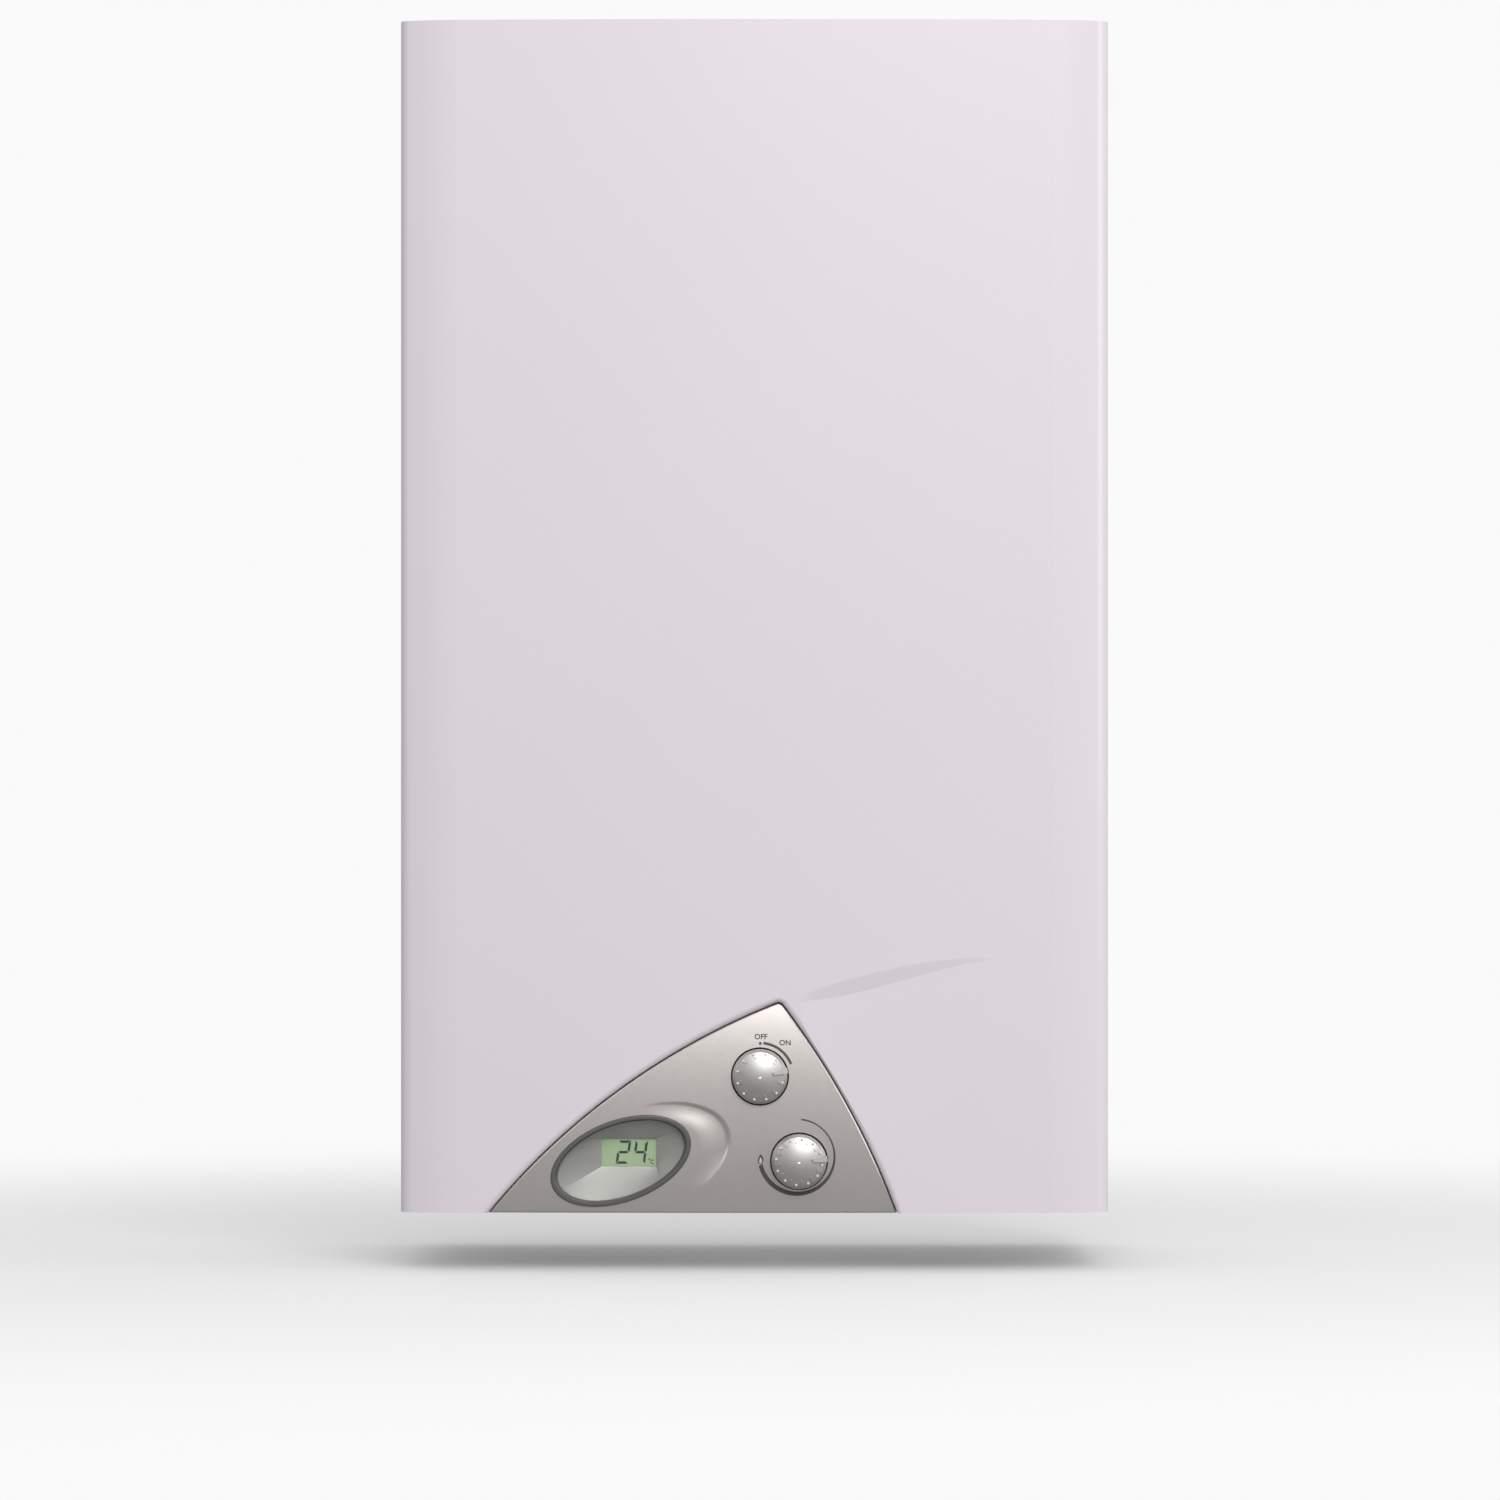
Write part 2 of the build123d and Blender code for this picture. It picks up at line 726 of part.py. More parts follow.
# The hood's inside or outside.
def hood_block(grow, low):
    neck = collar_foot - 0.2
    with BuildPart() as block:
        for height, length, breadth in (
            (low, hood_half, hood_deep),
            (hood_low + hood_skirt, hood_half, hood_deep),
        ):
            with BuildSketch(Plane.XY.offset(level(height))):
                with Locations((0, -flue_depth)):
                    Rectangle(2 * (length + grow), 2 * (breadth + grow))
        loft(ruled=True)
        with BuildSketch(Plane.XY.offset(level(hood_low + hood_skirt))):
            with Locations((0, -flue_depth)):
                Rectangle(2 * (hood_half + grow), 2 * (hood_deep + grow))
        with BuildSketch(Plane.XY.offset(level(neck))):
            with Locations((0, -flue_depth)):
                Circle(flue_radius + 2 + grow)
        loft()
    return block.part


with BuildPart() as draught_hood:
    add(hood_block(flue_wall, hood_low))
    add(hood_block(0, hood_low - 1), mode=Mode.SUBTRACT)
    add(bar(0, flue_depth, collar_foot - 5, collar_foot + 1, flue_radius), mode=Mode.SUBTRACT)
    # An inward ledge rests on the chamber's rim.
    add(slab(-hood_half, hood_half, flue_depth - hood_deep, flue_depth + hood_deep, hood_low,
             hood_low + flue_wall))
    add(slab(-hood_half + 10, hood_half - 10, flue_depth - hood_deep + 10, flue_depth + hood_deep - 10,
             hood_low - 1, hood_low + 2 * flue_wall), mode=Mode.SUBTRACT)
    for side in (-1, 1):
        add(slab(min(side * 80, side * 130), max(side * 80, side * 130), flue_depth - 45, flue_depth + 45,
                 hood_low + 4, hood_low + 12), mode=Mode.SUBTRACT)
draught_hood.part.label = "draught_hood"
export_step(draught_hood.part, "parts/draught_hood.step")

# Heat exchanger core: fins brazed on four tubes, bends outside the chamber, and two elbows
tube_depths = [flue_depth + tube_pitch * (1.5 - place) for place in range(4)]
joint_height = tube_height - elbow_radius - 4
with BuildPart() as heat_exchanger_core:
    for number in range(fin_count):
        x = (number - (fin_count - 1) / 2) * (chamber_width - 30) / (fin_count - 1)
        add(slab(x - fin_thickness / 2, x + fin_thickness / 2, flue_depth - fin_breadth / 2,
                 flue_depth + fin_breadth / 2, tube_height - fin_height / 2, tube_height + fin_height / 2))
    for first, second, side in ((0, 1, 1), (1, 2, -1), (2, 3, 1)):
        reach = side * (tube_reach + elbow_radius)
        add(bent(((0, tube_depths[first], tube_height), (reach, tube_depths[first], tube_height),
                  (reach, tube_depths[second], tube_height), (0, tube_depths[second], tube_height)),
                 tube_radius, tube_pitch / 2 - 0.01))
    for depth in (tube_depths[0], tube_depths[3]):
        add(bent(((0, depth, tube_height), (-riser_x, depth, tube_height), (-riser_x, depth, joint_height)),
                 tube_radius, elbow_radius))
heat_exchanger_core.part.label = "heat_exchanger_core"
export_step(heat_exchanger_core.part, "parts/heat_exchanger_core.step")

# Combustion chamber: an open sheet duct whose sides hold the tubes
chamber_half = chamber_width / 2
chamber_deep = chamber_breadth / 2
with BuildPart() as combustion_chamber:
    add(slab(-chamber_half, chamber_half, flue_depth - chamber_deep, flue_depth + chamber_deep,
             chamber_low, chamber_high, chamber_corner))
    add(slab(-chamber_half + chamber_sheet, chamber_half - chamber_sheet,
             flue_depth - chamber_deep + chamber_sheet, flue_depth + chamber_deep - chamber_sheet,
             chamber_low - 1, chamber_high + 1, chamber_corner - chamber_sheet), mode=Mode.SUBTRACT)
    for depth in tube_depths:
        add(rod(-chamber_half - 2, chamber_half + 2, tube_radius + 0.2, tube_height, depth),
            mode=Mode.SUBTRACT)
    # Two brackets reach back to the frame.
    for side in (-1, 1):
        left, right = sorted((side * chamber_half * 0.72, side * (chamber_half * 0.72 + 20)))
        add(slab(left, right, frame_sheet + 0.3, flue_depth - chamber_deep + 0.5, chamber_low + 6,
                 chamber_low + 8))
combustion_chamber.part.label = "combustion_chamber"
export_step(combustion_chamber.part, "parts/combustion_chamber.step")

# Cold pipe, from the water valve round the chamber to the first tube
coil_side = chamber_half + pipe_gap + pipe_radius
coil_back = flue_depth - chamber_deep - pipe_gap - pipe_radius
coil_front = flue_depth + chamber_deep + pipe_gap + pipe_radius
outlet_x = bowl_left + bowl_width + diaphragm_thickness - 5
valve_top = rod_height + diaphragm_radius + 14
with BuildPart() as cold_pipe:
    add(bent((
        (outlet_x, rod_depth, valve_top + 0.3),
        (outlet_x, rod_depth, valve_top + 40),
        (coil_side, rod_depth, valve_top + 80),
        (coil_side, rod_depth, coil_low),
        (coil_side, coil_front, coil_low),
        (-coil_side, coil_front, coil_low),
        (-coil_side, coil_back, coil_low),
        (coil_side, coil_back, coil_low),
        (coil_side, coil_back, coil_high),
        (coil_side, coil_front, coil_high),
        (-riser_x, coil_front, coil_high),
        (-riser_x, tube_depths[0], coil_high),
        (-riser_x, tube_depths[0], joint_height - 0.3),
    ), pipe_radius, elbow_radius))
cold_pipe.part.label = "cold_pipe"
export_step(cold_pipe.part, "parts/cold_pipe.step")

nipple_top = plate_height + plate_sheet + nut_height
with BuildPart() as hot_pipe:
    add(bent((
        (-riser_x, tube_depths[3], joint_height - 0.3),
        (-riser_x, tube_depths[3], 150),
        (hot_x, pipe_depth, 90),
        (hot_x, pipe_depth, nipple_top + 0.3),
    ), pipe_radius, elbow_radius))
hot_pipe.part.label = "hot_pipe"
export_step(hot_pipe.part, "parts/hot_pipe.step")

# Burner: round-topped ramps with flame ports, dropped into a sheet tray
ramp_back = flue_depth - ramp_length / 2
ramp_front = flue_depth + ramp_length / 2
with BuildPart() as burner_ramps:
    with BuildSketch(Plane.XZ.offset(ramp_back)) as ends:
        with Locations((0, level(ramp_low + ramp_height / 2))):
            with GridLocations(ramp_pitch, 1, ramp_count, 1):
                SlotOverall(ramp_height, ramp_width, rotation=90)
    extrude(amount=ramp_length)
    with BuildSketch(Plane.XY.offset(level(ramp_low + ramp_height + 1))):
        with Locations((0, -flue_depth)):
            with GridLocations(ramp_pitch, ramp_length / (port_count + 1), ramp_count, port_count):
                Rectangle(ramp_width * 0.6, 2)
    extrude(amount=-8, mode=Mode.SUBTRACT)
burner_ramps.part.label = "burner_ramps"
export_step(burner_ramps.part, "parts/burner_ramps.step")

tray_half = ramp_count * ramp_pitch / 2 + 4
tray_back = ramp_back - 4
tray_front = ramp_front + 1.5
with BuildPart() as burner_tray:
    add(slab(-tray_half, tray_half, tray_back, tray_front, ramp_low - 2, ramp_low + tray_height))
    add(slab(-tray_half + tray_wall, tray_half - tray_wall, tray_back + tray_wall, tray_front - tray_wall,
             ramp_low - 0.3, ramp_low + tray_height + 1), mode=Mode.SUBTRACT)
    add(slab(-tray_half + 8, tray_half - 8, tray_back + 8, tray_front - 8, ramp_low - 5, ramp_low + 1),
        mode=Mode.SUBTRACT)
    for side in (-1, 1):
        left, right = sorted((side * tray_half * 0.78, side * (tray_half * 0.78 + 16)))
        add(slab(left, right, frame_sheet + 0.3, tray_back + 1, ramp_low - 2, ramp_low - 0.3))
burner_tray.part.label = "burner_tray"
export_step(burner_tray.part, "parts/burner_tray.step")

# Gas manifold with its row of injectors, one to a ramp
injector_height = ramp_low + 9
manifold_back = tray_front + injector_length
with BuildPart() as gas_manifold:
    add(slab(-manifold_length / 2, manifold_length / 2, manifold_back, manifold_back + manifold_size,
             injector_height - manifold_size / 2, injector_height + manifold_size / 2))
    fillet(gas_manifold.edges().filter_by(Axis.X), 2)
    for number in range(ramp_count):
        x = (number - (ramp_count - 1) / 2) * ramp_pitch
        add(axle(x, injector_height, tray_front + 0.3, manifold_back + 1, 2.8))
gas_manifold.part.label = "gas_manifold"
export_step(gas_manifold.part, "parts/gas_manifold.step")

manifold_depth = manifold_back + manifold_size / 2
with BuildPart() as gas_pipe:
    add(bent((
        (gas_x, solenoid_depth, valve_high + 0.3),
        (gas_x, solenoid_depth, valve_high + 40),
        (gas_x, manifold_depth, valve_high + 62),
        (gas_x, manifold_depth, injector_height - manifold_size / 2 - 0.3),
    ), pipe_radius, elbow_radius))
gas_pipe.part.label = "gas_pipe"
export_step(gas_pipe.part, "parts/gas_pipe.step")

# Gas valve: a casting with two cock bores in front, the poppet's chamber and the safety valve's
gland_front = valve_front + 16
solenoid_bore = plunger_radius + 5
with BuildPart() as gas_valve_body:
    add(slab(valve_left, valve_right, valve_back, valve_front, valve_low, valve_high, 5))
    fillet(gas_valve_body.edges().group_by(Axis.Z)[-1], 2)
    add(slab(gas_x - 16, gas_x + 16, pipe_depth - 13, valve_back + 4, plate_height + plate_sheet + 0.3, 46,
             4))
    for x, height, angle in knob_places:
        add(axle(x, height, valve_front - 4, gland_front, 10))
    add(rod(valve_right - 4, yoke_left - tab_seat, 12))
    for x, height, angle in knob_places:
        add(axle(x, height, valve_front - 20, gland_front + 1, 5.5 + spindle_fit), mode=Mode.SUBTRACT)
    add(rod(valve_left - 1, poppet_seat, poppet_bore), mode=Mode.SUBTRACT)
    add(rod(poppet_seat - 1, poppet_seat + 5, poppet_radius - 2.5), mode=Mode.SUBTRACT)
    add(rod(poppet_seat, yoke_left + 1, rod_radius + spindle_fit), mode=Mode.SUBTRACT)
    add(rod(valve_left - 1, valve_left + 18, solenoid_bore, solenoid_height, solenoid_depth),
        mode=Mode.SUBTRACT)
gas_valve_body.part.label = "gas_valve_body"
export_step(gas_valve_body.part, "parts/gas_valve_body.step")

with BuildPart() as spindle_glands:
    for x, height, angle in knob_places:
        add(axle(x, height, gland_front + 0.1, gland_front + 0.1 + gland_thickness, 10))
        add(axle(x, height, gland_front, gland_front + 2 * gland_thickness, spindle_radius + spindle_fit),
            mode=Mode.SUBTRACT)
spindle_glands.part.label = "spindle_glands"
export_step(spindle_glands.part, "parts/spindle_glands.step")


# A cock spindle: its plug turns in the casting and its flatted end carries a knob.
def spindle_form(x, height, angle):
    tip = -knob_back + hub_depth - 0.4
    with BuildPart() as spindle:
        add(axle(x, height, valve_front - 18, tip, spindle_radius))
        add(axle(x, height, valve_front - 18, gland_front - 0.2, 5.5))
        with BuildSketch(facing_plane(x, knob_back + 0.6, height, angle)):
            with Locations((spindle_flat, 0)):
                Rectangle(6, 10, align=(Align.MIN, Align.CENTER))
        extrude(amount=hub_depth + 1, mode=Mode.SUBTRACT)
    return spindle.part


with BuildPart() as on_off_spindle:
    add(spindle_form(on_off_x, on_off_height, on_off_rest))
on_off_spindle.part.label = "on_off_spindle"
export_step(on_off_spindle.part, "parts/on_off_spindle.step")

with BuildPart() as flame_spindle:
    add(spindle_form(flame_x, flame_height, flame_rest))
flame_spindle.part.label = "flame_spindle"
export_step(flame_spindle.part, "parts/flame_spindle.step")

# Push rod: the diaphragm's plate at one end, the gas poppet at the other, a collar for the switch
rod_plate = bowl_left + bowl_width - diaphragm_thickness / 2 - 0.3
collar_x = yoke_left + 12
with BuildPart() as push_rod:
    add(rod(poppet_seat - 4, rod_plate, rod_radius))
    add(rod(poppet_seat - 3.3, poppet_seat - 0.3, poppet_radius))
    add(rod(collar_x, collar_x + 2, 5))
    add(rod(rod_plate - 2, rod_plate, bowl_radius - 6))
push_rod.part.label = "push_rod"
export_step(push_rod.part, "parts/push_rod.step")

# Poppet spring, between the poppet and the chamber's cap
spring_left = valve_left + 4.3
spring_right = poppet_seat - 3.6
with BuildPart() as poppet_spring:
    span = spring_right - spring_left - 2 * spring_wire
    with BuildLine() as coil:
        Helix(
            span / spring_turns,
            span,
            spring_radius,
            center=(spring_left + spring_wire, -rod_depth, level(rod_height)),
            direction=(1, 0, 0),
        )
    with BuildSketch(Plane(origin=coil.wire() @ 0, z_dir=coil.wire() % 0)):
        RegularPolygon(spring_wire, 6)
    sweep(is_frenet=True)
poppet_spring.part.label = "poppet_spring"
export_step(poppet_spring.part, "parts/poppet_spring.step")

# Safety solenoid beside the valve, and the cap over the poppet's chamber
with BuildPart() as solenoid:
    add(rod(valve_left - 0.1 - solenoid_length, valve_left - 0.1, solenoid_radius, solenoid_height,
            solenoid_depth))
    fillet(solenoid.edges().group_by(Axis.X)[0], 1.5)
    add(rod(valve_left - solenoid_length + 5, valve_left + 1, plunger_radius + spindle_fit, solenoid_height,
            solenoid_depth), mode=Mode.SUBTRACT)
solenoid.part.label = "solenoid"
export_step(solenoid.part, "parts/solenoid.step")

with BuildPart() as chamber_cap:
    add(rod(valve_left - 2.6, valve_left - 0.1, poppet_bore + 1.5))
    add(rod(valve_left - 0.1, valve_left + 4, poppet_bore - 0.2))
chamber_cap.part.label = "chamber_cap"
export_step(chamber_cap.part, "parts/chamber_cap.step")

with BuildPart() as plunger:
    stop = valve_left - solenoid_length + 5 + plunger_travel + 0.4
    add(rod(stop, valve_left + 17, plunger_radius, solenoid_height, solenoid_depth))
    add(rod(valve_left + 14.7, valve_left + 17.7, solenoid_bore - 0.4, solenoid_height, solenoid_depth))
plunger.part.label = "plunger"
export_step(plunger.part, "parts/plunger.step")

# Water valve: two bowls clamp the diaphragm, and a yoke joins them to the gas valve
seam = bowl_left + bowl_width
with BuildPart() as water_valve_body:
    add(rod(bowl_left - 3, seam - diaphragm_thickness / 2 - 0.05, diaphragm_radius))
    add(rod(yoke_left, bowl_left, 16))
    add(slab(yoke_left + 3, bowl_left - 6, rod_depth - 11, rod_depth + 11, rod_height - 20, rod_height + 20),
        mode=Mode.SUBTRACT)
    add(bar(outlet_x - 6, rod_depth, rod_height + diaphragm_radius - 8, valve_top, 6))
    add(rod(bowl_left, seam + 1, bowl_radius), mode=Mode.SUBTRACT)
    add(rod(yoke_left - 1, seam, rod_radius + spindle_fit), mode=Mode.SUBTRACT)
water_valve_body.part.label = "water_valve_body"
export_step(water_valve_body.part, "parts/water_valve_body.step")

with BuildPart() as diaphragm:
    add(rod(seam - diaphragm_thickness / 2, seam + diaphragm_thickness / 2, diaphragm_radius - 0.5))
diaphragm.part.label = "diaphragm"
export_step(diaphragm.part, "parts/diaphragm.step")

with BuildPart() as water_valve_cover:
    add(rod(seam + diaphragm_thickness / 2 + 0.05, seam + cover_width, diaphragm_radius))
    fillet(water_valve_cover.edges().group_by(Axis.X)[-1], 4)
    add(slab(cold_x - 9, cold_x + 9, pipe_depth, rod_depth - diaphragm_radius + 8, rod_height - 9,
             rod_height + 9))
    add(bar(cold_x, pipe_depth, plate_height + plate_sheet + 0.3, rod_height + 9, 10))
    add(rod(seam, seam + bowl_width, bowl_radius), mode=Mode.SUBTRACT)
water_valve_cover.part.label = "water_valve_cover"
export_step(water_valve_cover.part, "parts/water_valve_cover.step")

# Microswitch on the yoke; its lever hangs down against the push rod's collar
switch_x = collar_x - 3.2
lever_length = 17.0
pivot_height = rod_height + lever_length + 3
with BuildPart() as microswitch:
    add(slab(switch_x - 16, switch_x + 4, rod_depth + 3, rod_depth + 9.4, pivot_height + 1.6,
             pivot_height + 12))
    add(slab(switch_x - 3, switch_x + 3, rod_depth + 3, rod_depth + 5, pivot_height - 3, pivot_height + 2))
    add(slab(yoke_left, yoke_left + 2.8, rod_depth - 3, rod_depth + 5, rod_height + 16.3, pivot_height + 3))
    add(axle(switch_x, pivot_height, rod_depth - 3, rod_depth + 4, 0.8))
microswitch.part.label = "microswitch"
export_step(microswitch.part, "parts/microswitch.step")

with BuildPart() as switch_lever:
    add(axle(switch_x, pivot_height, rod_depth - 2, rod_depth + 2.6, 2))
    add(slab(switch_x - 0.4, switch_x + 0.4, rod_depth - 2, rod_depth + 2.6, rod_height + 3, pivot_height))
    add(slab(switch_x - 0.4, collar_x - 0.3, rod_depth - 2, rod_depth + 2.6, rod_height + 3,
             rod_height + 3.8))
    add(axle(switch_x, pivot_height, rod_depth - 3, rod_depth + 4, 0.85), mode=Mode.SUBTRACT)
switch_lever.part.label = "switch_lever"
export_step(switch_lever.part, "parts/switch_lever.step")

# Pipe plate: the bracket through which the three connections leave
with BuildPart() as pipe_plate:
    add(slab(-125, 125, frame_sheet + 0.3, pipe_depth + 22, plate_height, plate_height + plate_sheet, 3))
    add(slab(-125, 125, frame_sheet + 0.3, frame_sheet + 0.3 + plate_sheet, plate_height, plate_height + 16))
    for x in (hot_x, gas_x, cold_x):
        add(bar(x, pipe_depth, plate_height - 1, plate_height + plate_sheet + 1, thread_radius + 0.4),
            mode=Mode.SUBTRACT)
pipe_plate.part.label = "pipe_plate"
export_step(pipe_plate.part, "parts/pipe_plate.step")


# A connection: the threaded end below the plate, a hexagon that seats against it, and the bore.
def nipple_form(x, top):
    with BuildPart() as nipple:
        add(bar(x, pipe_depth, nipple_foot, top, thread_radius))
        with BuildSketch(Plane.XY.offset(level(nipple_foot + nipple_length - 4))):
            with Locations((x, -pipe_depth)):
                RegularPolygon(thread_radius + 3.5, 6)
        extrude(amount=plate_height - nipple_foot - nipple_length + 3.9)
        add(bar(x, pipe_depth, nipple_foot - 1, top - 3, nipple_bore), mode=Mode.SUBTRACT)
    return nipple.part


nipple_stop = plate_height + plate_sheet
with BuildPart() as gas_inlet:
    add(nipple_form(gas_x, nipple_stop + 0.1))
gas_inlet.part.label = "gas_inlet"
export_step(gas_inlet.part, "parts/gas_inlet.step")

with BuildPart() as cold_inlet:
    add(nipple_form(cold_x, nipple_stop + 0.1))
cold_inlet.part.label = "cold_inlet"
export_step(cold_inlet.part, "parts/cold_inlet.step")

with BuildPart() as hot_outlet:
    add(nipple_form(hot_x, nipple_top))
hot_outlet.part.label = "hot_outlet"
export_step(hot_outlet.part, "parts/hot_outlet.step")

# Union nuts, the same hexagon at each joint of the pipework
with BuildPart() as union_nuts:
    for x, depth, low in (
        (hot_x, pipe_depth, nipple_top + 0.2),
        (-riser_x, tube_depths[0], joint_height - nut_height - 0.3),
        (-riser_x, tube_depths[3], joint_height - nut_height - 0.3),
        (outlet_x, rod_depth, valve_top + 0.2),
        (gas_x, solenoid_depth, valve_high + 0.2),
    ):
        with BuildSketch(Plane.XY.offset(level(low))):
            with Locations((x, -depth)):
                RegularPolygon(nut_radius, 6)
                Circle(pipe_radius + 0.3, mode=Mode.SUBTRACT)
        extrude(amount=nut_height)
union_nuts.part.label = "union_nuts"
export_step(union_nuts.part, "parts/union_nuts.step")


# An electrode: a ceramic sleeve on the tray's edge and a bent wire over the flames.
def electrode_form(x):
    low = ramp_low + tray_height + 0.3
    depth = tray_front - 2
    with BuildPart() as electrode:
        add(bar(x, depth, low, low + 9, 3))
        add(bent(((x, depth, low + 8), (x, depth, ramp_low + ramp_height + 3),
                  (x, depth - 20, ramp_low + ramp_height + 3)), 0.8, 1.5))
    return electrode.part


with BuildPart() as ignition_electrode:
    add(electrode_form(-ramp_pitch))
ignition_electrode.part.label = "ignition_electrode"
export_step(ignition_electrode.part, "parts/ignition_electrode.step")

with BuildPart() as flame_probe:
    add(electrode_form(ramp_pitch))
flame_probe.part.label = "flame_probe"
export_step(flame_probe.part, "parts/flame_probe.step")

# Overheat cut-out: a button thermostat flat on the chamber's right side
with BuildPart() as overheat_cutout:
    add(rod(chamber_half + 0.2, chamber_half + 7, 8, coil_high + 35, flue_depth))
    for blade in (flue_depth - 4, flue_depth + 3):
        add(slab(chamber_half + 6, chamber_half + 13, blade, blade + 1, coil_high + 32, coil_high + 38))
overheat_cutout.part.label = "overheat_cutout"
export_step(overheat_cutout.part, "parts/overheat_cutout.step")

# Ignition and control module, on two feet against the back frame
with BuildPart() as control_module:
    add(slab(module_left, module_right, module_back, module_front, module_low,
             module_low + module_height, 3))
    fillet(control_module.edges().group_by(Axis.Z)[-1], 2)
    for height in (module_low + 10, module_low + module_height - 20):
        add(slab(module_x - 6, module_x + 6, frame_sheet + 0.3, module_back + 1, height, height + 8))
    for height in (module_low + 18, module_low + 44):
        add(slab(module_x - 9, module_x + 9, module_front - 1, socket_depth, height, height + 12))
control_module.part.label = "control_module"
export_step(control_module.part, "parts/control_module.step")

# Battery box: two round cells upright in a box that opens downward
box_half = cell_pitch / 2 + cell_radius + 1 + battery_wall
box_deep = cell_radius + 1 + battery_wall
box_top = battery_foot + cell_length + 6
with BuildPart() as battery_box:
    add(slab(cell_x - box_half, cell_x + box_half, cell_depth - box_deep, cell_depth + box_deep, battery_foot,
             box_top, 4))
    add(slab(cell_x - box_half + battery_wall, cell_x + box_half - battery_wall,
             cell_depth - box_deep + battery_wall, cell_depth + box_deep - battery_wall, battery_foot - 1,
             box_top - battery_wall, 2), mode=Mode.SUBTRACT)
    add(slab(cell_x - 10, cell_x + 10, frame_sheet + 0.3, cell_depth - box_deep + 1, box_top - 8,
             box_top - 4))
    hinge_depth = cell_depth - box_deep - 3
    for side in (-1, 1):
        left, right = sorted((cell_x + side * 22, cell_x + side * 30))
        add(slab(left, right, hinge_depth - 2, cell_depth - box_deep + 1, battery_foot - 0.2,
                 battery_foot + 8))
    add(rod(cell_x - 30, cell_x + 30, 1, battery_foot - 2, hinge_depth))
    for side in (-1, 1):
        left, right = sorted((cell_x + side * 22, cell_x + side * 30))
        add(slab(left, right, hinge_depth - 2, hinge_depth + 2, battery_foot - 3, battery_foot))
battery_box.part.label = "battery_box"
export_step(battery_box.part, "parts/battery_box.step")

with BuildPart() as battery_door:
    door_top = battery_foot - door_gap
    add(slab(cell_x - box_half, cell_x + box_half, cell_depth - box_deep + 0.5, cell_depth + box_deep + 4,
             door_top - door_thickness, door_top, 3))
    add(slab(cell_x - 21.5, cell_x + 21.5, hinge_depth, cell_depth - box_deep + 2,
             door_top - door_thickness, door_top))
    add(rod(cell_x - 21.5, cell_x + 21.5, 2.1, battery_foot - 2, hinge_depth))
    add(rod(cell_x - 23, cell_x + 23, 1.05, battery_foot - 2, hinge_depth), mode=Mode.SUBTRACT)
battery_door.part.label = "battery_door"
export_step(battery_door.part, "parts/battery_door.step")

with BuildPart() as cells:
    for side in (-1, 1):
        x = cell_x + side * cell_pitch / 2
        add(bar(x, cell_depth, battery_foot, battery_foot + cell_length, cell_radius))
        add(bar(x, cell_depth, battery_foot + cell_length - 1, battery_foot + cell_length + 1.5, 4.5))
    fillet(cells.edges().filter_by(GeomType.CIRCLE).group_by(Axis.Z)[0], 1)
cells.part.label = "cells"
export_step(cells.part, "parts/cells.step")

with BuildPart() as cell_contacts:
    contact_low = battery_foot + cell_length + 1.8
    for side in (-1, 1):
        x = cell_x + side * cell_pitch / 2
        add(slab(x - 6, x + 6, cell_depth - 6, cell_depth + 6, contact_low, contact_low + 0.5))
        add(slab(x - 6, x - 5, cell_depth - 6, cell_depth + 6, contact_low, box_top - battery_wall - 0.1))
cell_contacts.part.label = "cell_contacts"
export_step(cell_contacts.part, "parts/cell_contacts.step")

# Leads, from the module and the battery box to what they serve
with BuildPart() as leads:
    socket = module_x + 4
    electrode_depth = tray_front + 4
    lead_start = socket_depth + 0.3
    add(bent(((socket, lead_start, module_low + 50), (socket, 140, module_low + 50),
              (socket, 194, ramp_low + 25), (-ramp_pitch, 194, ramp_low + 25),
              (-ramp_pitch, tray_front + 1.3, ramp_low + 25)), lead_radius, 5))
    add(bent(((cell_x, cell_depth, box_top + 0.3), (cell_x, cell_depth, box_top + 12),
              (module_x - 4, cell_depth, box_top + 24), (module_x - 4, lead_start + 6, module_low + 24),
              (module_x - 4, lead_start, module_low + 24)), lead_radius, 2.5))
leads.part.label = "leads"
export_step(leads.part, "parts/leads.step")
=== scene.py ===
import bpy
import bmesh
import math
from mathutils import Matrix, Vector
from mathutils.bvhtree import BVHTree


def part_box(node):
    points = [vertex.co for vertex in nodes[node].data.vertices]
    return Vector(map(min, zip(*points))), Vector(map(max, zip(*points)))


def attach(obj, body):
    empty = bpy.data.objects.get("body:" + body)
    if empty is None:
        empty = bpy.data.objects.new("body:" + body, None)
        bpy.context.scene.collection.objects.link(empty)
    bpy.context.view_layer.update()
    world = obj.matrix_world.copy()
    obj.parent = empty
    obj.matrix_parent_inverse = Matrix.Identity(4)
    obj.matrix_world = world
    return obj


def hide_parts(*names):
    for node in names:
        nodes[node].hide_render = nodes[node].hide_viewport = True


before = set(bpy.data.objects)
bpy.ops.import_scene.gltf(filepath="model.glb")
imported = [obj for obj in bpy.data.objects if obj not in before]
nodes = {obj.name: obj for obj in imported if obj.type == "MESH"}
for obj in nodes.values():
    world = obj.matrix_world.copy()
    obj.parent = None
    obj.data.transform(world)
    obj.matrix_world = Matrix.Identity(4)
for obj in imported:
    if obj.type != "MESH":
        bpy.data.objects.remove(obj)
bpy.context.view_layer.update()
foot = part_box("front_casing")[0][2]
print("stage: frame loaded,", len(nodes), "nodes")


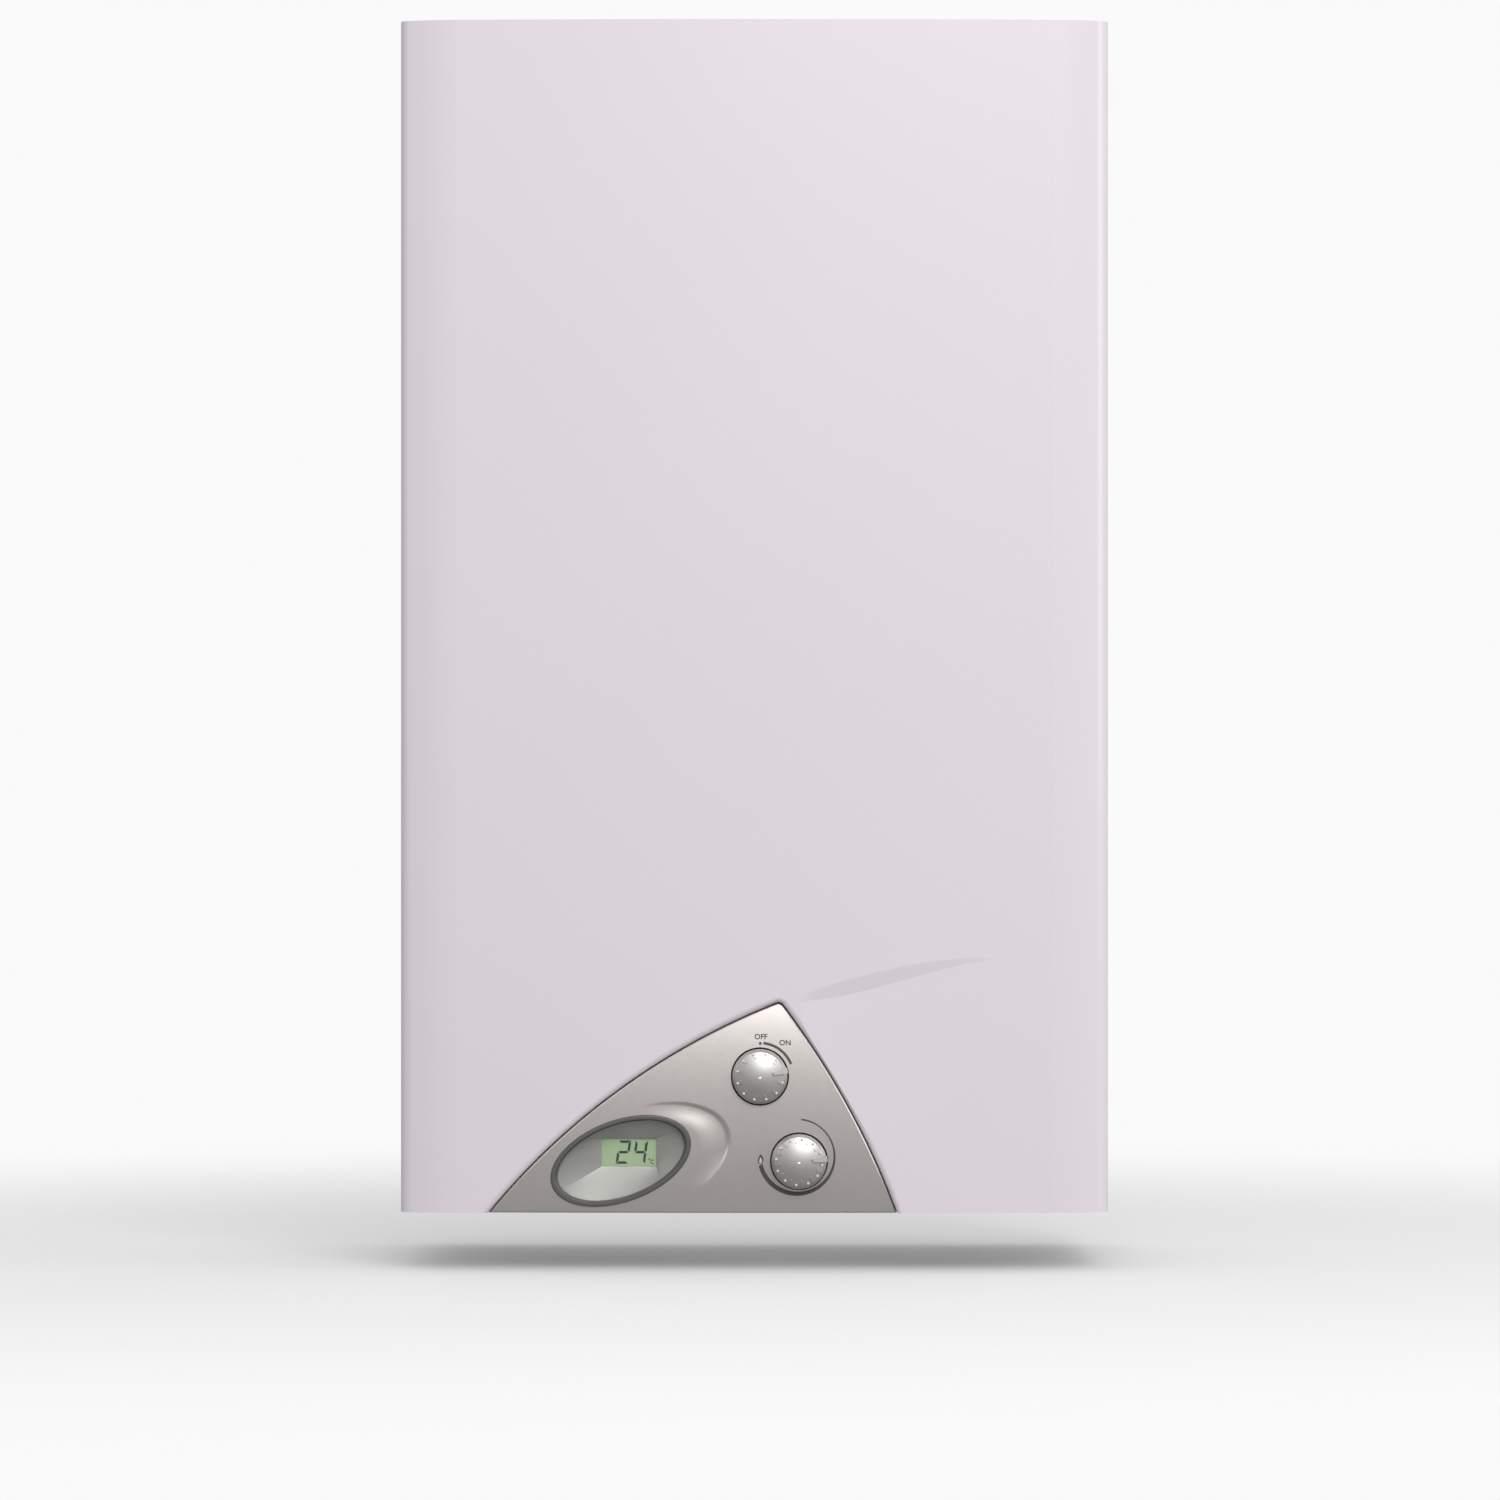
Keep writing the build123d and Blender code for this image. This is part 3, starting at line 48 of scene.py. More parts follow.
def newGroup(name, kind, inputs, outputs):
    group = bpy.data.node_groups.new(name, kind)
    for label, socketType, value in inputs:
        entry = group.interface.new_socket(label, in_out="INPUT", socket_type=socketType)
        if value is not None:
            entry.default_value = value
    for label, socketType in outputs:
        group.interface.new_socket(label, in_out="OUTPUT", socket_type=socketType)
    return group


# every surface has the same kind of grain, each with its own values
grainLook = dict(finer=24.0, height=0.0004, roughSwing=0.15, coatRough=0.12)
grain = newGroup(
    "surfaceGrain",
    "ShaderNodeTree",
    [
        ("Scale", "NodeSocketFloat", 40.0),
        ("Spread", "NodeSocketFloat", 0.03),
        ("Depth", "NodeSocketFloat", 0.05),
    ],
    [("Tone", "NodeSocketFloat"), ("Rough", "NodeSocketFloat"), ("Normal", "NodeSocketVector")],
)
grainIn = grain.nodes.new("NodeGroupInput")
grainOut = grain.nodes.new("NodeGroupOutput")
where = grain.nodes.new("ShaderNodeTexCoord")
broad = grain.nodes.new("ShaderNodeTexNoise")
broad.inputs["Detail"].default_value = 3.0
fine = grain.nodes.new("ShaderNodeTexNoise")
fine.inputs["Detail"].default_value = 2.0
finer = grain.nodes.new("ShaderNodeMath")
finer.operation = "MULTIPLY"
finer.inputs[1].default_value = grainLook["finer"]
centre = grain.nodes.new("ShaderNodeMath")
centre.operation = "SUBTRACT"
centre.inputs[1].default_value = 0.5
spread = grain.nodes.new("ShaderNodeMath")
spread.operation = "MULTIPLY_ADD"
spread.inputs[2].default_value = 1.0
bump = grain.nodes.new("ShaderNodeBump")
bump.inputs["Distance"].default_value = grainLook["height"]
links = grain.links
links.new(where.outputs["Object"], broad.inputs["Vector"])
links.new(where.outputs["Object"], fine.inputs["Vector"])
links.new(grainIn.outputs["Scale"], broad.inputs["Scale"])
links.new(grainIn.outputs["Scale"], finer.inputs[0])
links.new(finer.outputs[0], fine.inputs["Scale"])
links.new(broad.outputs["Fac"], centre.inputs[0])
links.new(centre.outputs[0], spread.inputs[0])
links.new(grainIn.outputs["Spread"], spread.inputs[1])
links.new(fine.outputs["Fac"], bump.inputs["Height"])
links.new(grainIn.outputs["Depth"], bump.inputs["Strength"])
links.new(spread.outputs[0], grainOut.inputs["Tone"])
links.new(fine.outputs["Fac"], grainOut.inputs["Rough"])
links.new(bump.outputs["Normal"], grainOut.inputs["Normal"])

sharpAngle = math.radians(28)
# color is linear; spread is how far the tone wanders, depth how deep the grain is
surfaces = {
    "enamel": dict(color=(0.70, 0.64, 0.69), rough=0.34, scale=8, spread=0.02, depth=0.03, coat=0.35),
    "silver": dict(color=(0.62, 0.58, 0.56), rough=0.33, metal=0.8, scale=14, spread=0.02, depth=0.015),
    "knobSilver": dict(color=(0.50, 0.485, 0.47), rough=0.4, metal=0.85, scale=14, spread=0.02, depth=0.006),
    "ring": dict(color=(0.10, 0.098, 0.095), rough=0.42, scale=60, spread=0.05, depth=0.05),
    "reflector": dict(color=(0.33, 0.33, 0.315), rough=0.4, metal=0.25, scale=20, spread=0.04, depth=0.02),
    "lcd": dict(color=(0.42, 0.56, 0.34), rough=0.25, scale=120, spread=0.03, depth=0.02),
    "segment": dict(color=(0.03, 0.05, 0.05), rough=0.4, scale=120, spread=0.05, depth=0.02),
    "ink": dict(color=(0.07, 0.062, 0.055), rough=0.55, scale=150, spread=0.08, depth=0.03),
    "inkLight": dict(color=(0.55, 0.53, 0.5), rough=0.5, scale=150, spread=0.05, depth=0.03),
    # painted highlight: the marks' tips are a lighter silver than the knobs, standing in for their glints
    "paintedGlintSilver": dict(
        color=(0.74, 0.73, 0.71), rough=0.3, metal=0.3, scale=20, spread=0.02, depth=0.01, coat=0.3
    ),
    "board": dict(color=(0.02, 0.11, 0.04), rough=0.45, scale=90, spread=0.15, depth=0.1),
    "zinc": dict(color=(0.56, 0.57, 0.58), rough=0.38, metal=0.9, scale=25, spread=0.12, depth=0.08),
    "aluminised": dict(color=(0.55, 0.55, 0.56), rough=0.45, metal=0.9, scale=35, spread=0.1, depth=0.12),
    "copper": dict(color=(0.66, 0.30, 0.17), rough=0.34, metal=1.0, scale=30, spread=0.14, depth=0.08),
    "brass": dict(color=(0.62, 0.44, 0.19), rough=0.34, metal=1.0, scale=40, spread=0.1, depth=0.08),
    "steel": dict(color=(0.42, 0.42, 0.43), rough=0.35, metal=1.0, scale=40, spread=0.08, depth=0.08),
    "heated": dict(color=(0.34, 0.29, 0.24), rough=0.42, metal=0.95, scale=45, spread=0.3, depth=0.1),
    "cast": dict(color=(0.48, 0.48, 0.49), rough=0.55, metal=0.85, scale=60, spread=0.08, depth=0.35),
    "black": dict(color=(0.022, 0.022, 0.024), rough=0.5, scale=70, spread=0.08, depth=0.15),
    "phenolic": dict(color=(0.035, 0.025, 0.02), rough=0.45, scale=80, spread=0.1, depth=0.1),
    "ceramic": dict(color=(0.78, 0.75, 0.68), rough=0.25, scale=60, spread=0.03, depth=0.04, coat=0.4),
    "rubber": dict(color=(0.02, 0.02, 0.02), rough=0.7, scale=90, spread=0.1, depth=0.15),
    "canPrint": dict(
        color=(0.07, 0.09, 0.14), rough=0.3, metal=0.4, scale=50, spread=0.05, depth=0.03, coat=0.4
    ),
}


def grainedShader(tree, look):
    shader = tree.nodes.new("ShaderNodeBsdfPrincipled")
    texture = tree.nodes.new("ShaderNodeGroup")
    texture.node_tree = grain
    texture.inputs["Scale"].default_value = look["scale"]
    texture.inputs["Spread"].default_value = look["spread"]
    texture.inputs["Depth"].default_value = look["depth"]
    tint = tree.nodes.new("ShaderNodeVectorMath")
    tint.operation = "SCALE"
    tint.inputs[0].default_value = look["color"]
    sheen = tree.nodes.new("ShaderNodeMapRange")
    sheen.inputs["To Min"].default_value = look["rough"] * (1 - grainLook["roughSwing"])
    sheen.inputs["To Max"].default_value = look["rough"] * (1 + grainLook["roughSwing"])
    tree.links.new(texture.outputs["Tone"], tint.inputs["Scale"])
    tree.links.new(tint.outputs["Vector"], shader.inputs["Base Color"])
    tree.links.new(texture.outputs["Rough"], sheen.inputs["Value"])
    tree.links.new(sheen.outputs["Result"], shader.inputs["Roughness"])
    tree.links.new(texture.outputs["Normal"], shader.inputs["Normal"])
    shader.inputs["Metallic"].default_value = look.get("metal", 0.0)
    shader.inputs["Coat Weight"].default_value = look.get("coat", 0.0)
    shader.inputs["Coat Roughness"].default_value = grainLook["coatRough"]
    return shader


def makeSurface(name):
    material = bpy.data.materials.new(name)
    material.use_nodes = True
    tree = material.node_tree
    tree.nodes.clear()
    out = tree.nodes.new("ShaderNodeOutputMaterial")
    shader = grainedShader(tree, surfaces[name])
    tree.links.new(shader.outputs[0], out.inputs["Surface"])
    return material


# clear moulding: shadow rays pass, so that what lies behind is lit
def makeClear(name, look):
    material = bpy.data.materials.new(name)
    material.use_nodes = True
    tree = material.node_tree
    tree.nodes.clear()
    out = tree.nodes.new("ShaderNodeOutputMaterial")
    shader = grainedShader(tree, look)
    shader.inputs["Transmission Weight"].default_value = 1.0
    shader.inputs["IOR"].default_value = look["ior"]
    passing = tree.nodes.new("ShaderNodeBsdfTransparent")
    ray = tree.nodes.new("ShaderNodeLightPath")
    either = tree.nodes.new("ShaderNodeMath")
    either.operation = "MAXIMUM"
    blend = tree.nodes.new("ShaderNodeMixShader")
    tree.links.new(ray.outputs["Is Shadow Ray"], either.inputs[0])
    tree.links.new(ray.outputs["Is Diffuse Ray"], either.inputs[1])
    tree.links.new(either.outputs[0], blend.inputs[0])
    tree.links.new(shader.outputs[0], blend.inputs[1])
    tree.links.new(passing.outputs[0], blend.inputs[2])
    tree.links.new(blend.outputs[0], out.inputs["Surface"])
    return material


materials = {name: makeSurface(name) for name in surfaces}
clearLook = dict(color=(0.98, 0.98, 0.97), rough=0.05, scale=60, spread=0.01, depth=0.01, ior=1.35)
materials["clear"] = makeClear("clear", clearLook)

finishes = {
    "front_casing": "enamel",
    "top_cover": "enamel",
    "control_panel": "silver",
    "on_off_knob": "knobSilver",
    "flame_knob": "knobSilver",
    "display_rim": "ring",
    "display_lens": "clear",
    "display_reflector": "reflector",
    "lcd_glass": "lcd",
    "lcd_board": "board",
    "back_frame": "zinc",
    "pipe_plate": "zinc",
    "flue_collar": "aluminised",
    "draught_hood": "aluminised",
    "burner_tray": "aluminised",
    "burner_ramps": "heated",
    "heat_exchanger_core": "copper",
    "combustion_chamber": "copper",
    "cold_pipe": "copper",
    "hot_pipe": "copper",
    "gas_manifold": "zinc",
    "gas_pipe": "cast",
    "gas_valve_body": "cast",
    "spindle_glands": "zinc",
    "on_off_spindle": "brass",
    "flame_spindle": "brass",
    "push_rod": "steel",
    "poppet_spring": "steel",
    "solenoid": "zinc",
    "chamber_cap": "brass",
    "plunger": "steel",
    "water_valve_body": "brass",
    "diaphragm": "rubber",
    "water_valve_cover": "brass",
    "microswitch": "black",
    "switch_lever": "steel",
    "gas_inlet": "brass",
    "cold_inlet": "brass",
    "hot_outlet": "brass",
    "union_nuts": "brass",
    "ignition_electrode": "ceramic",
    "flame_probe": "ceramic",
    "overheat_cutout": "phenolic",
    "control_module": "black",
    "battery_box": "black",
    "battery_door": "black",
    "cells": "canPrint",
    "cell_contacts": "zinc",
    "leads": "rubber",
}
for name, obj in nodes.items():
    obj.data.materials.clear()
    obj.data.materials.append(materials[finishes[name]])
    obj.data.polygons.foreach_set("use_smooth", [True] * len(obj.data.polygons))
    obj.data.set_sharp_from_angle(angle=sharpAngle)
    obj.data.update()
print("stage: surfaces on the carried-over pieces")


# the panel gets the crescent hollow beside the display pressed into its face; sizes in millimetres
crescent = dict(
    x=-57.4, height=25.5, long=47.9, short=26.7, tilt=20.5, depth=1.3,
    wall=0.94, heel=0.66,  # where the steep wall meets the floor, and where the floor runs out
    lowerTip=-62, lowerFull=-22, upperFull=22, upperTip=80,  # degrees round the oval
)
pressing = dict(
    inner=0.58, outer=1.08, lower=-75, upper=90,  # the stretch of the oval that is cut fine
    edge=0.9, passes=9,
    merge=0.000002, near=-0.2005,  # metres
    facing=-0.9, shaded=-0.93,  # how far a face must look forward to be cut, and to be shaded as a curve
)


# what the object looks like with its modifiers run, as a mesh of its own
def plainMesh(obj):
    bpy.context.view_layer.update()
    return bpy.data.meshes.new_from_object(obj.evaluated_get(bpy.context.evaluated_depsgraph_get()))


def surfaceTree(mesh):
    return BVHTree.FromPolygons([v.co for v in mesh.vertices], [p.vertices for p in mesh.polygons])


def smooth(low, high, value):
    share = min(max((value - low) / (high - low), 0), 1)
    return share * share * (3 - 2 * share)


def crescentPlace(co):
    dx = co.x * 1000 - crescent["x"]
    dz = (co.z - foot) * 1000 - crescent["height"]
    turn = math.radians(crescent["tilt"])
    p = (dx * math.cos(turn) + dz * math.sin(turn)) / crescent["long"]
    r = (dz * math.cos(turn) - dx * math.sin(turn)) / crescent["short"]
    return math.hypot(p, r), math.degrees(math.atan2(r, p))


def crescentDepth(co):
    radius, angle = crescentPlace(co)
    along = smooth(crescent["lowerTip"], crescent["lowerFull"], angle)
    along *= 1 - smooth(crescent["upperFull"], crescent["upperTip"], angle)
    fall = 1 - smooth(crescent["wall"], 1.0, radius)
    rise = smooth(crescent["heel"], crescent["wall"], radius)
    return crescent["depth"] * along * fall * rise / 1000


def inCrescent(co):
    radius, angle = crescentPlace(co)
    level = pressing["inner"] < radius < pressing["outer"]
    return level and pressing["lower"] < angle < pressing["upper"]


def nearCrescent(edge):
    a, b = edge.verts[0].co, edge.verts[1].co
    return inCrescent(a) or inCrescent(b) or inCrescent((a + b) / 2)


work = bmesh.new()
work.from_mesh(nodes["control_panel"].data)
bmesh.ops.remove_doubles(work, verts=work.verts[:], dist=pressing["merge"])
for finePass in range(pressing["passes"]):
    work.normal_update()
    crowned = {
        f for f in work.faces
        if f.normal.y < pressing["facing"] and f.calc_center_median().y < pressing["near"]
    }
    longEdges = [
        e for e in work.edges
        if e.calc_length() > pressing["edge"] / 1000 and nearCrescent(e)
        and any(f in crowned for f in e.link_faces)
    ]
    if not longEdges:
        break
    bmesh.ops.subdivide_edges(work, edges=longEdges, cuts=1)
    bigFaces = [f for f in work.faces if len(f.verts) > 3]
    bmesh.ops.triangulate(work, faces=bigFaces, quad_method="SHORT_EDGE")
for v in work.verts:
    if v.co.y < pressing["near"] and inCrescent(v.co):
        v.co.y += crescentDepth(v.co)
work.normal_update()
panelShape = bpy.data.meshes.new("pressedPanel")
work.to_mesh(panelShape)
work.free()
panelShape.materials.append(materials["silver"])
panelShape.polygons.foreach_set("use_smooth", [True] * len(panelShape.polygons))
panelShape.set_sharp_from_angle(angle=sharpAngle)
pressedPanel = bpy.data.objects.new("pressedPanel", panelShape)
bpy.context.scene.collection.objects.link(pressedPanel)
even = pressedPanel.modifiers.new("even", "WEIGHTED_NORMAL")
even.keep_sharp = True
even.weight = 100
panelShape = plainMesh(pressedPanel)
pressedPanel.modifiers.clear()
pressedPanel.data = panelShape
crown = dict(bow=2.6, radius=0.33, height=0.055, step=0.0001)  # metres, as in the part's source


def crownedY(x, z):
    fall = crown["bow"] - math.sqrt(crown["bow"] ** 2 - x ** 2)
    drop = crown["radius"] - math.sqrt(crown["radius"] ** 2 - (z - foot - crown["height"]) ** 2)
    spot = Vector((x, 0, z))
    return fall + drop + (crescentDepth(spot) if inCrescent(spot) else 0)


def crownedNormal(co):
    step = crown["step"]
    slopeX = (crownedY(co.x + step, co.z) - crownedY(co.x - step, co.z)) / (2 * step)
    slopeZ = (crownedY(co.x, co.z + step) - crownedY(co.x, co.z - step)) / (2 * step)
    return Vector((slopeX, -1, slopeZ)).normalized()


# the crowned face is shaded as the curve it is, not as its facets
corners = [c.vector.copy() for c in panelShape.corner_normals]
for face in panelShape.polygons:
    if face.normal.y < pressing["shaded"] and face.center.y < pressing["near"]:
        for loop in face.loop_indices:
            corner = panelShape.loops[loop].vertex_index
            corners[loop] = crownedNormal(panelShape.vertices[corner].co)
panelShape.normals_split_custom_set(corners)
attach(pressedPanel, "heater")
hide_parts("control_panel")
print("stage: panel,", len(panelShape.polygons), "faces")

# prints are outlines in millimetres from the casing's foot, laid on the panel's curved face
panelTree = surfaceTree(nodes["control_panel"].data)


# where a line from the viewer first meets the surface
def frontY(tree, x, z):
    return tree.ray_cast(Vector((x, -1, z)), Vector((0, 1, 0)))[0].y


def newPiece(name, mesh, surface, body):
    mesh.materials.clear()
    mesh.materials.append(materials[surface])
    obj = bpy.data.objects.new(name, mesh)
    bpy.context.scene.collection.objects.link(obj)
    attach(obj, body)
    return obj


# lays a flat mesh on the panel as a thin closed skin
def drape(name, flat, surface, lift=0.06, sink=0.03, merge=0.002):
    work = bmesh.new()
    work.from_mesh(flat)
    bmesh.ops.triangulate(work, faces=work.faces[:])
    bmesh.ops.remove_doubles(work, verts=work.verts[:], dist=merge)
    rim = [e.verts[:] for e in work.edges if e.is_boundary]
    tops = work.faces[:]
    under = {}
    for v in work.verts[:]:
        x = v.co.x / 1000
        z = foot + v.co.y / 1000
        y = frontY(panelTree, x, z)
        v.co = Vector((x, y - lift / 1000, z))
        under[v] = work.verts.new((x, y + sink / 1000, z))
    for face in tops:
        work.faces.new([under[v] for v in reversed(face.verts)])
    for a, b in rim:
        work.faces.new([a, b, under[b], under[a]])
    bmesh.ops.recalc_face_normals(work, faces=work.faces[:])
    mesh = bpy.data.meshes.new(name)
    work.to_mesh(mesh)
    work.free()
    return newPiece(name, mesh, surface, "heater")


def ringMesh(inner, outer):
    mesh = bpy.data.meshes.new("flat")
    count = len(inner)
    faces = [(i, i + 1, count + i + 1, count + i) for i in range(count - 1)]
    mesh.from_pydata([(x, y, 0) for x, y in inner + outer], [], faces)
    return mesh


def polar(cx, cy, radius, degrees):
    turn = math.radians(degrees)
    return (cx + radius * math.cos(turn), cy + radius * math.sin(turn))


# points along an arc, from one angle to another
def arcPoints(cx, cy, radius, start, end, count):
    return [polar(cx, cy, radius, start + (end - start) * i / count) for i in range(count + 1)]


def fanMesh(points, centrePoint):
    mesh = bpy.data.meshes.new("flat")
    count = len(points)
    faces = [(i, (i + 1) % count, count) for i in range(count)]
    mesh.from_pydata([(x, y, 0) for x, y in points + [centrePoint]], [], faces)
    return mesh


def textMesh(words, size, x, y, weight=0.07):
    curve = bpy.data.curves.new(words, "FONT")
    curve.body = words
    curve.size = size
    curve.align_x = "CENTER"
    curve.align_y = "CENTER"
    curve.resolution_u = 3
    curve.offset = weight
    holder = bpy.data.objects.new(words, curve)
    bpy.context.scene.collection.objects.link(holder)
    mesh = plainMesh(holder)
    bpy.data.objects.remove(holder)
    mesh.transform(Matrix.Translation((x, y, 0)))
    return mesh


switchPrint = dict(
    centre=(2.7, 67.9), inner=15.95, outer=17.25, sweep=(84.0, 21.7, 40),
    dotCentre=(2.9, 84.3), dot=0.75, letters=3.7, off=(3.2, 87.5), on=(15.2, 84.5),
)
arcInner = arcPoints(*switchPrint["centre"], switchPrint["inner"], *switchPrint["sweep"])
arcOuter = arcPoints(*switchPrint["centre"], switchPrint["outer"], *switchPrint["sweep"])
drape("switchArc", ringMesh(arcInner, arcOuter), "ink")
dotRing = [polar(*switchPrint["dotCentre"], switchPrint["dot"], 15 * i) for i in range(24)]
drape("offDot", fanMesh(dotRing, switchPrint["dotCentre"]), "ink")
drape("offWord", textMesh("OFF", switchPrint["letters"], *switchPrint["off"]), "ink")
drape("onWord", textMesh("ON", switchPrint["letters"], *switchPrint["on"]), "ink")

# the flame scale thickens as its knob turns toward the flame
flamePrint = dict(
    innerCentre=(21.4, 28.5), inner=17.8, outerCentre=(20.9, 27.9), outer=19.3, sweep=(83.6, -167.0, 110),
    sign=(3.0, 26.9, 2.8, 5.0, 0.25), signMiddle=(3.0, 26.4),
    heart=(3.0, 26.3, 1.5, 3.1, 0.1), heartMiddle=(3.0, 26.0), heartLift=0.09,
)
scaleInner = arcPoints(*flamePrint["innerCentre"], flamePrint["inner"], *flamePrint["sweep"])
scaleOuter = arcPoints(*flamePrint["outerCentre"], flamePrint["outer"], *flamePrint["sweep"])
drape("flameScale", ringMesh(scaleInner, scaleOuter), "ink")


dropShape = dict(steps=20, belly=0.75, roundness=0.8)


# a drop: round below, pointed above, leaning a little
def dropOutline(cx, cy, width, height, lean):
    right = []
    left = []
    for i in range(1, dropShape["steps"]):
        share = i / dropShape["steps"]
        half = width / 2 * math.sin(math.pi * share ** dropShape["belly"]) ** dropShape["roundness"]
        shift = lean * math.sin(math.pi * share) * share
        right.append((cx + half + shift, cy - height / 2 + height * share))
        left.append((cx - half + shift, cy - height / 2 + height * share))
    return [(cx, cy - height / 2)] + right + [(cx, cy + height / 2)] + left[::-1]


drape("flameSign", fanMesh(dropOutline(*flamePrint["sign"]), flamePrint["signMiddle"]), "ink")
heart = fanMesh(dropOutline(*flamePrint["heart"]), flamePrint["heartMiddle"])
drape("flameHeart", heart, "inkLight", lift=flamePrint["heartLift"])
print("stage: prints on the panel")


# LCD figures stand on the glass in its own plane; sizes in millimetres
glassMesh = nodes["lcd_glass"].data
facing = max((p for p in glassMesh.polygons if p.normal.y < -0.9), key=lambda p: p.area)
glassNormal = facing.normal.copy()
glassLow, glassHigh = [Vector(c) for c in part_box("lcd_glass")]
glassMiddle = (glassLow + glassHigh) / 2
glassFace = glassMiddle + glassNormal * ((facing.center - glassMiddle).dot(glassNormal))
glassRight = Vector((1, 0, 0)) - glassNormal * glassNormal.x
glassRight.normalize()
glassUp = glassNormal.cross(glassRight)
figures = dict(
    height=11.6, width=6.2, bar=1.25, slant=0.14, gap=0.2, lift=0.06, first=-2.6, pitch=8.3, base=-5.9,
    degree=(9.9, -3.6), degreeRadius=0.45, letter=(11.6, -4.9), letterInner=0.75, letterOuter=1.15,
    letterSweep=(50, 310, 10), tip=0.3, shoulder=0.2,
)
segmentsOf = {"2": "abged", "4": "fgbc"}


def segmentShapes(letters):
    w, h, t, g = figures["width"], figures["height"], figures["bar"], figures["gap"]
    half, tip, shoulder = h / 2, figures["tip"], figures["shoulder"]
    shapes = {
        "a": [(g, h), (w - g, h), (w - t - g, h - t), (t + g, h - t)],
        "d": [(t + g, t), (w - t - g, t), (w - g, 0), (g, 0)],
        "g": [
            (g + tip, half), (t + shoulder, half + t / 2), (w - t - shoulder, half + t / 2),
            (w - g - tip, half), (w - t - shoulder, half - t / 2), (t + shoulder, half - t / 2),
        ],
        "b": [(w, h - g), (w, half + g), (w - t, half + t / 2 + g), (w - t, h - t - g)],
        "c": [(w, half - g), (w, g), (w - t, t + g), (w - t, half - t / 2 - g)],
        "f": [(0, half + g), (0, h - g), (t, h - t - g), (t, half + t / 2 + g)],
        "e": [(0, g), (0, half - g), (t, half - t / 2 - g), (t, t + g)],
    }
    return [shapes[letter] for letter in letters]


def onGlass(x, y, lift):
    return glassFace + glassRight * (x / 1000) + glassUp * (y / 1000) + glassNormal * (lift / 1000)


def raisedShapes(name, shapes, surface):
    work = bmesh.new()
    for shape in shapes:
        lows = [work.verts.new(onGlass(x, y, 0.0)) for x, y in shape]
        tops = [work.verts.new(onGlass(x, y, figures["lift"])) for x, y in shape]
        work.faces.new(tops)
        work.faces.new(lows[::-1])
        for i in range(len(shape)):
            j = (i + 1) % len(shape)
            work.faces.new([lows[i], lows[j], tops[j], tops[i]])
    bmesh.ops.recalc_face_normals(work, faces=work.faces[:])
    mesh = bpy.data.meshes.new(name)
    work.to_mesh(mesh)
    work.free()
    return newPiece(name, mesh, surface, "heater")


shapes = []
for place, figure in enumerate("24"):
    for shape in segmentShapes(segmentsOf[figure]):
        left = figures["first"] + figures["pitch"] * (place - 0.5)
        shapes.append([(left + x + figures["slant"] * y, figures["base"] + y) for x, y in shape])
shapes.append([polar(*figures["degree"], figures["degreeRadius"], 30 * i) for i in range(12)])
letterOuter = arcPoints(*figures["letter"], figures["letterOuter"], *figures["letterSweep"])
letterInner = arcPoints(*figures["letter"], figures["letterInner"], *figures["letterSweep"])
for i in range(len(letterOuter) - 1):
    shapes.append([letterOuter[i], letterOuter[i + 1], letterInner[i + 1], letterInner[i]])
raisedShapes("lcdFigures", shapes, "segment")
print("stage: LCD figures")


def scaledBy(tree, factor):
    node = tree.nodes.new("ShaderNodeMath")
    node.operation = "MULTIPLY"
    node.inputs[1].default_value = factor
    return node


# a ring of low round or six-sided heads, for bolts, screws, rivets and the knobs' tips
headLook = dict(crownRadius=0.72, crownHeight=0.3)  # shares of the head's radius and height
screwRing = newGroup(
    "screwRing",
    "GeometryNodeTree",
    [
        ("Count", "NodeSocketInt", 8),
        ("Ring Radius", "NodeSocketFloat", 0.03),
        ("Head Radius", "NodeSocketFloat", 0.003),
        ("Head Height", "NodeSocketFloat", 0.002),
        ("Sides", "NodeSocketInt", 24),
        ("Surface", "NodeSocketMaterial", None),
    ],
    [("Geometry", "NodeSocketGeometry")],
)
ringIn = screwRing.nodes.new("NodeGroupInput")
ringOut = screwRing.nodes.new("NodeGroupOutput")
circle = screwRing.nodes.new("GeometryNodeMeshCircle")
headShape = screwRing.nodes.new("GeometryNodeMeshCylinder")
crownShape = screwRing.nodes.new("GeometryNodeMeshCone")
joined = screwRing.nodes.new("GeometryNodeJoinGeometry")
lifted = screwRing.nodes.new("GeometryNodeTransform")
crownLift = screwRing.nodes.new("GeometryNodeTransform")
placed = screwRing.nodes.new("GeometryNodeInstanceOnPoints")
realized = screwRing.nodes.new("GeometryNodeRealizeInstances")
coloured = screwRing.nodes.new("GeometryNodeSetMaterial")
halfHeight = scaledBy(screwRing, 0.5)
toVector = screwRing.nodes.new("ShaderNodeCombineXYZ")
upVector = screwRing.nodes.new("ShaderNodeCombineXYZ")
crownRadius = scaledBy(screwRing, headLook["crownRadius"])
crownHeight = scaledBy(screwRing, headLook["crownHeight"])
links = screwRing.links
links.new(ringIn.outputs["Count"], circle.inputs["Vertices"])
links.new(ringIn.outputs["Ring Radius"], circle.inputs["Radius"])
links.new(ringIn.outputs["Sides"], headShape.inputs["Vertices"])
links.new(ringIn.outputs["Head Radius"], headShape.inputs["Radius"])
links.new(ringIn.outputs["Head Height"], headShape.inputs["Depth"])
links.new(ringIn.outputs["Sides"], crownShape.inputs["Vertices"])
links.new(ringIn.outputs["Head Radius"], crownShape.inputs["Radius Bottom"])
links.new(ringIn.outputs["Head Radius"], crownRadius.inputs[0])
links.new(crownRadius.outputs[0], crownShape.inputs["Radius Top"])
links.new(ringIn.outputs["Head Height"], crownHeight.inputs[0])
links.new(crownHeight.outputs[0], crownShape.inputs["Depth"])
links.new(ringIn.outputs["Head Height"], halfHeight.inputs[0])
links.new(halfHeight.outputs[0], toVector.inputs["Z"])
